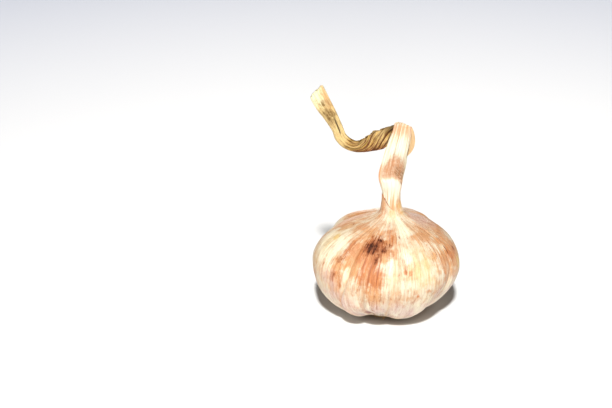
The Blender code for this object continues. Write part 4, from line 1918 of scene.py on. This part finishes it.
@dataclass
class Studio:
    """The pale floor, the soft lights and the camera.

    Attributes:
        aim: The point that the camera looks at, in metres.
        distance: Distance from the camera to that point, in metres.
        pitch: How far the camera looks down, in degrees.
        lens: Focal length in millimetres.
        sensor: Width of the camera's sensor in millimetres.
        floor_half: Half the floor's side, in metres.
        floor_tone: The floor near the bulb.
        floor_painted_falloff: The floor far from it, painted darker as shade where the light falls
            off.
        floor_fade: Distances from the bulb between which one fades into the other.
        core: Middle of the dark core of the painted contact shadow under the bulb.
        painted_shadow_tone: Its colour.
        painted_shadow_reach: Distances from its middle between which it fades out.
        sky: Strength of the light from all round.
        sky_tone: Colour of that light and of the backdrop.
        backdrop: How bright the camera sees the backdrop.
        key: Strength of the key light.
        key_turn: Where it stands round the bulb, in degrees from the front.
        key_rise: How high it stands, in degrees.
        key_spread: How wide its disc looks, in degrees.
        key_tone: Its red, green and blue.
        fills: Azimuth, height and strength of each fill light.
        fill_spread: How wide a fill light's disc looks, in degrees.
        fill_tone: Red, green and blue of the fill lights.
    """

    aim: Triple = (-0.0316, 0.0098, 0.0411)
    distance: float = 0.5366
    pitch: float = 24.8
    lens: float = 80.0
    sensor: float = 36.0
    floor_half: float = 4.0
    floor_tone: Colour = (0.61, 0.61, 0.61, 1.0)
    floor_painted_falloff: Colour = (0.366, 0.38, 0.43, 1.0)
    floor_fade: Pair = (0.187, 0.52)
    core: Triple = (0.001, 0.006, 0.0)
    painted_shadow_tone: Colour = (0.20, 0.16, 0.125, 1.0)
    painted_shadow_reach: Pair = (0.012, 0.022)
    sky: float = 0.02
    sky_tone: Colour = (0.91, 0.93, 1.0, 1.0)
    backdrop: float = 0.70
    key: float = 6.55
    key_turn: float = -4.0
    key_rise: float = 52.3
    key_spread: float = 5.0
    key_tone: Triple = (1.0, 0.99, 0.97)
    fills: tuple[Triple, ...] = (
        (-78.0, 3.5, 1.35), (78.0, 3.5, 1.15), (180.0, 4.0, 1.5), (0.0, 2.5, 2.6),
    )
    fill_spread: float = 16.0
    fill_tone: Triple = (1.0, 0.955, 0.89)

    def build_floor(self) -> bpy.types.Object:
        """Lay the pale floor, with painted shade far from the bulb and a painted contact shadow
        right under it.

        Returns:
            The floor.
        """
        half = self.floor_half
        mesh = bpy.data.meshes.new("studio_floor")
        corners = [(-half, -half, 0.0), (half, -half, 0.0), (half, half, 0.0), (-half, half, 0.0)]
        mesh.from_pydata(corners, [], [(0, 1, 2, 3)])
        floor = bpy.data.objects.new("studio_floor", mesh)
        bpy.context.scene.collection.objects.link(floor)
        material, graph, shader = new_material("pale_floor")
        place = graph.node("ShaderNodeTexCoord").outputs["Object"]
        reach = graph.node("ShaderNodeVectorMath", operation="LENGTH")
        graph.feed(reach.inputs[0], place)
        # Painted shade: the floor is painted darker far from the bulb, as if the light fell off.
        fade = graph.node("ShaderNodeMapRange")
        graph.feed(fade.inputs["Value"], reach.outputs["Value"])
        graph.feed(fade.inputs["From Min"], self.floor_fade[0])
        graph.feed(fade.inputs["From Max"], self.floor_fade[1])
        colour = graph.mix(fade.outputs["Result"], self.floor_tone, self.floor_painted_falloff)
        # Painted shadow: a dark warm disc on the floor right under the bulb.
        gap = graph.node("ShaderNodeVectorMath", operation="DISTANCE")
        graph.feed(gap.inputs[0], place)
        graph.feed(gap.inputs[1], self.core)
        outside_painted_shadow = graph.step(gap.outputs["Value"], *self.painted_shadow_reach)
        graph.feed(shader.inputs["Base Color"], graph.mix(outside_painted_shadow, self.painted_shadow_tone, colour))
        shader.inputs["Roughness"].default_value = 0.9
        shader.inputs["Specular IOR Level"].default_value = 0.0
        mesh.materials.append(material)
        return floor

    @staticmethod
    def build_sun(name: str, azimuth: float, rise: float, strength: float, spread: float,
                  colour: Triple) -> None:
        """Set one distant light.

        Args:
            name: Name of the light.
            azimuth: Where it stands round the bulb, in degrees from the front.
            rise: How high it stands, in degrees.
            strength: Its strength in watts a square metre.
            spread: How wide its disc looks, in degrees.
            colour: Its red, green and blue.
        """
        sun = bpy.data.objects.new(name, bpy.data.lights.new(name, "SUN"))
        sun.data.energy = strength
        sun.data.angle = math.radians(spread)
        sun.data.color = colour
        sun.rotation_euler = (math.radians(90.0 - rise), 0.0, math.radians(azimuth))
        bpy.context.scene.collection.objects.link(sun)

    def build_lights(self) -> None:
        """Set the key high in front, low soft fills all round, and the pale sky."""
        scene = bpy.context.scene
        self.build_sun("key_light", self.key_turn, self.key_rise, self.key, self.key_spread,
                       self.key_tone)
        for index, (azimuth, rise, strength) in enumerate(self.fills):
            self.build_sun(f"fill_light_{index}", azimuth, rise, strength, self.fill_spread,
                           self.fill_tone)

        world = bpy.data.worlds.new("pale_sky")
        scene.world = world
        world.use_nodes = True
        graph = Graph(world.node_tree)
        background = world.node_tree.nodes["Background"]
        background.inputs["Color"].default_value = self.sky_tone
        seen = graph.node("ShaderNodeLightPath").outputs["Is Camera Ray"]
        backdrop = graph.math("MULTIPLY", seen, self.backdrop)
        graph.feed(background.inputs["Strength"], graph.math("MAXIMUM", backdrop, self.sky))
        scene.view_settings.view_transform = "Standard"
        scene.view_settings.look = "None"

    def build_camera(self) -> bpy.types.Object:
        """Stand the camera in front of the bulb, above it and looking down.

        Returns:
            The camera.
        """
        data = bpy.data.cameras.new("camera")
        data.lens = self.lens
        data.sensor_width = self.sensor
        data.clip_end = 10.0 * self.floor_half
        camera = bpy.data.objects.new("camera", data)
        pitch = math.radians(self.pitch)
        back = Vector((0.0, -math.cos(pitch), math.sin(pitch)))
        camera.location = Vector(self.aim) + back * self.distance
        camera.rotation_euler = (math.radians(90.0) - pitch, 0.0, 0.0)
        bpy.context.scene.collection.objects.link(camera)
        bpy.context.scene.camera = camera
        return camera


# ----------------------------------------------------------------------------------------------
# Putting it together


def settle(piece: bpy.types.Object, material: bpy.types.Material, slot: str,
           *nodes: str) -> None:
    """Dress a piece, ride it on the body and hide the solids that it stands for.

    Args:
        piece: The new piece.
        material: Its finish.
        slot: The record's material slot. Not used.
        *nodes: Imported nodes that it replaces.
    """
    piece.data.materials.append(material)
    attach(piece, BODY)
    if nodes:
        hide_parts(*nodes)
    log.info("%s: %d faces", piece.name, len(piece.data.polygons))


def main() -> None:
    """Build the studio and every piece."""
    logging.basicConfig(level=logging.INFO, format="%(name)s %(message)s")
    studio = Studio()
    studio.build_camera()
    studio.build_floor()
    studio.build_lights()

    effects = Effects()
    stem_form = StemForm()
    settle(BulbSkin(BulbForm(), stem_form).build(), SkinFinish().material(effects),
           "bulb_skin", "bulb")
    settle(DryStem(stem_form).build(), StemFinish().material(effects), "dry_stem", "stem")
    settle(DryLeaf().build(), LeafFinish().material(effects), "dry_leaf", "leaf")

    low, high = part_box("root_plate")
    plate = RootPlate(radius=(high.x - low.x) / 2.0 / MM, height=(high.z - low.z) / MM)
    cork = CorkFinish().material(effects)
    settle(plate.build_disc(), cork, "root_cork", "root_plate")
    settle(plate.build_stubs(), cork, "root_cork")


if __name__ == "__main__":
    main()
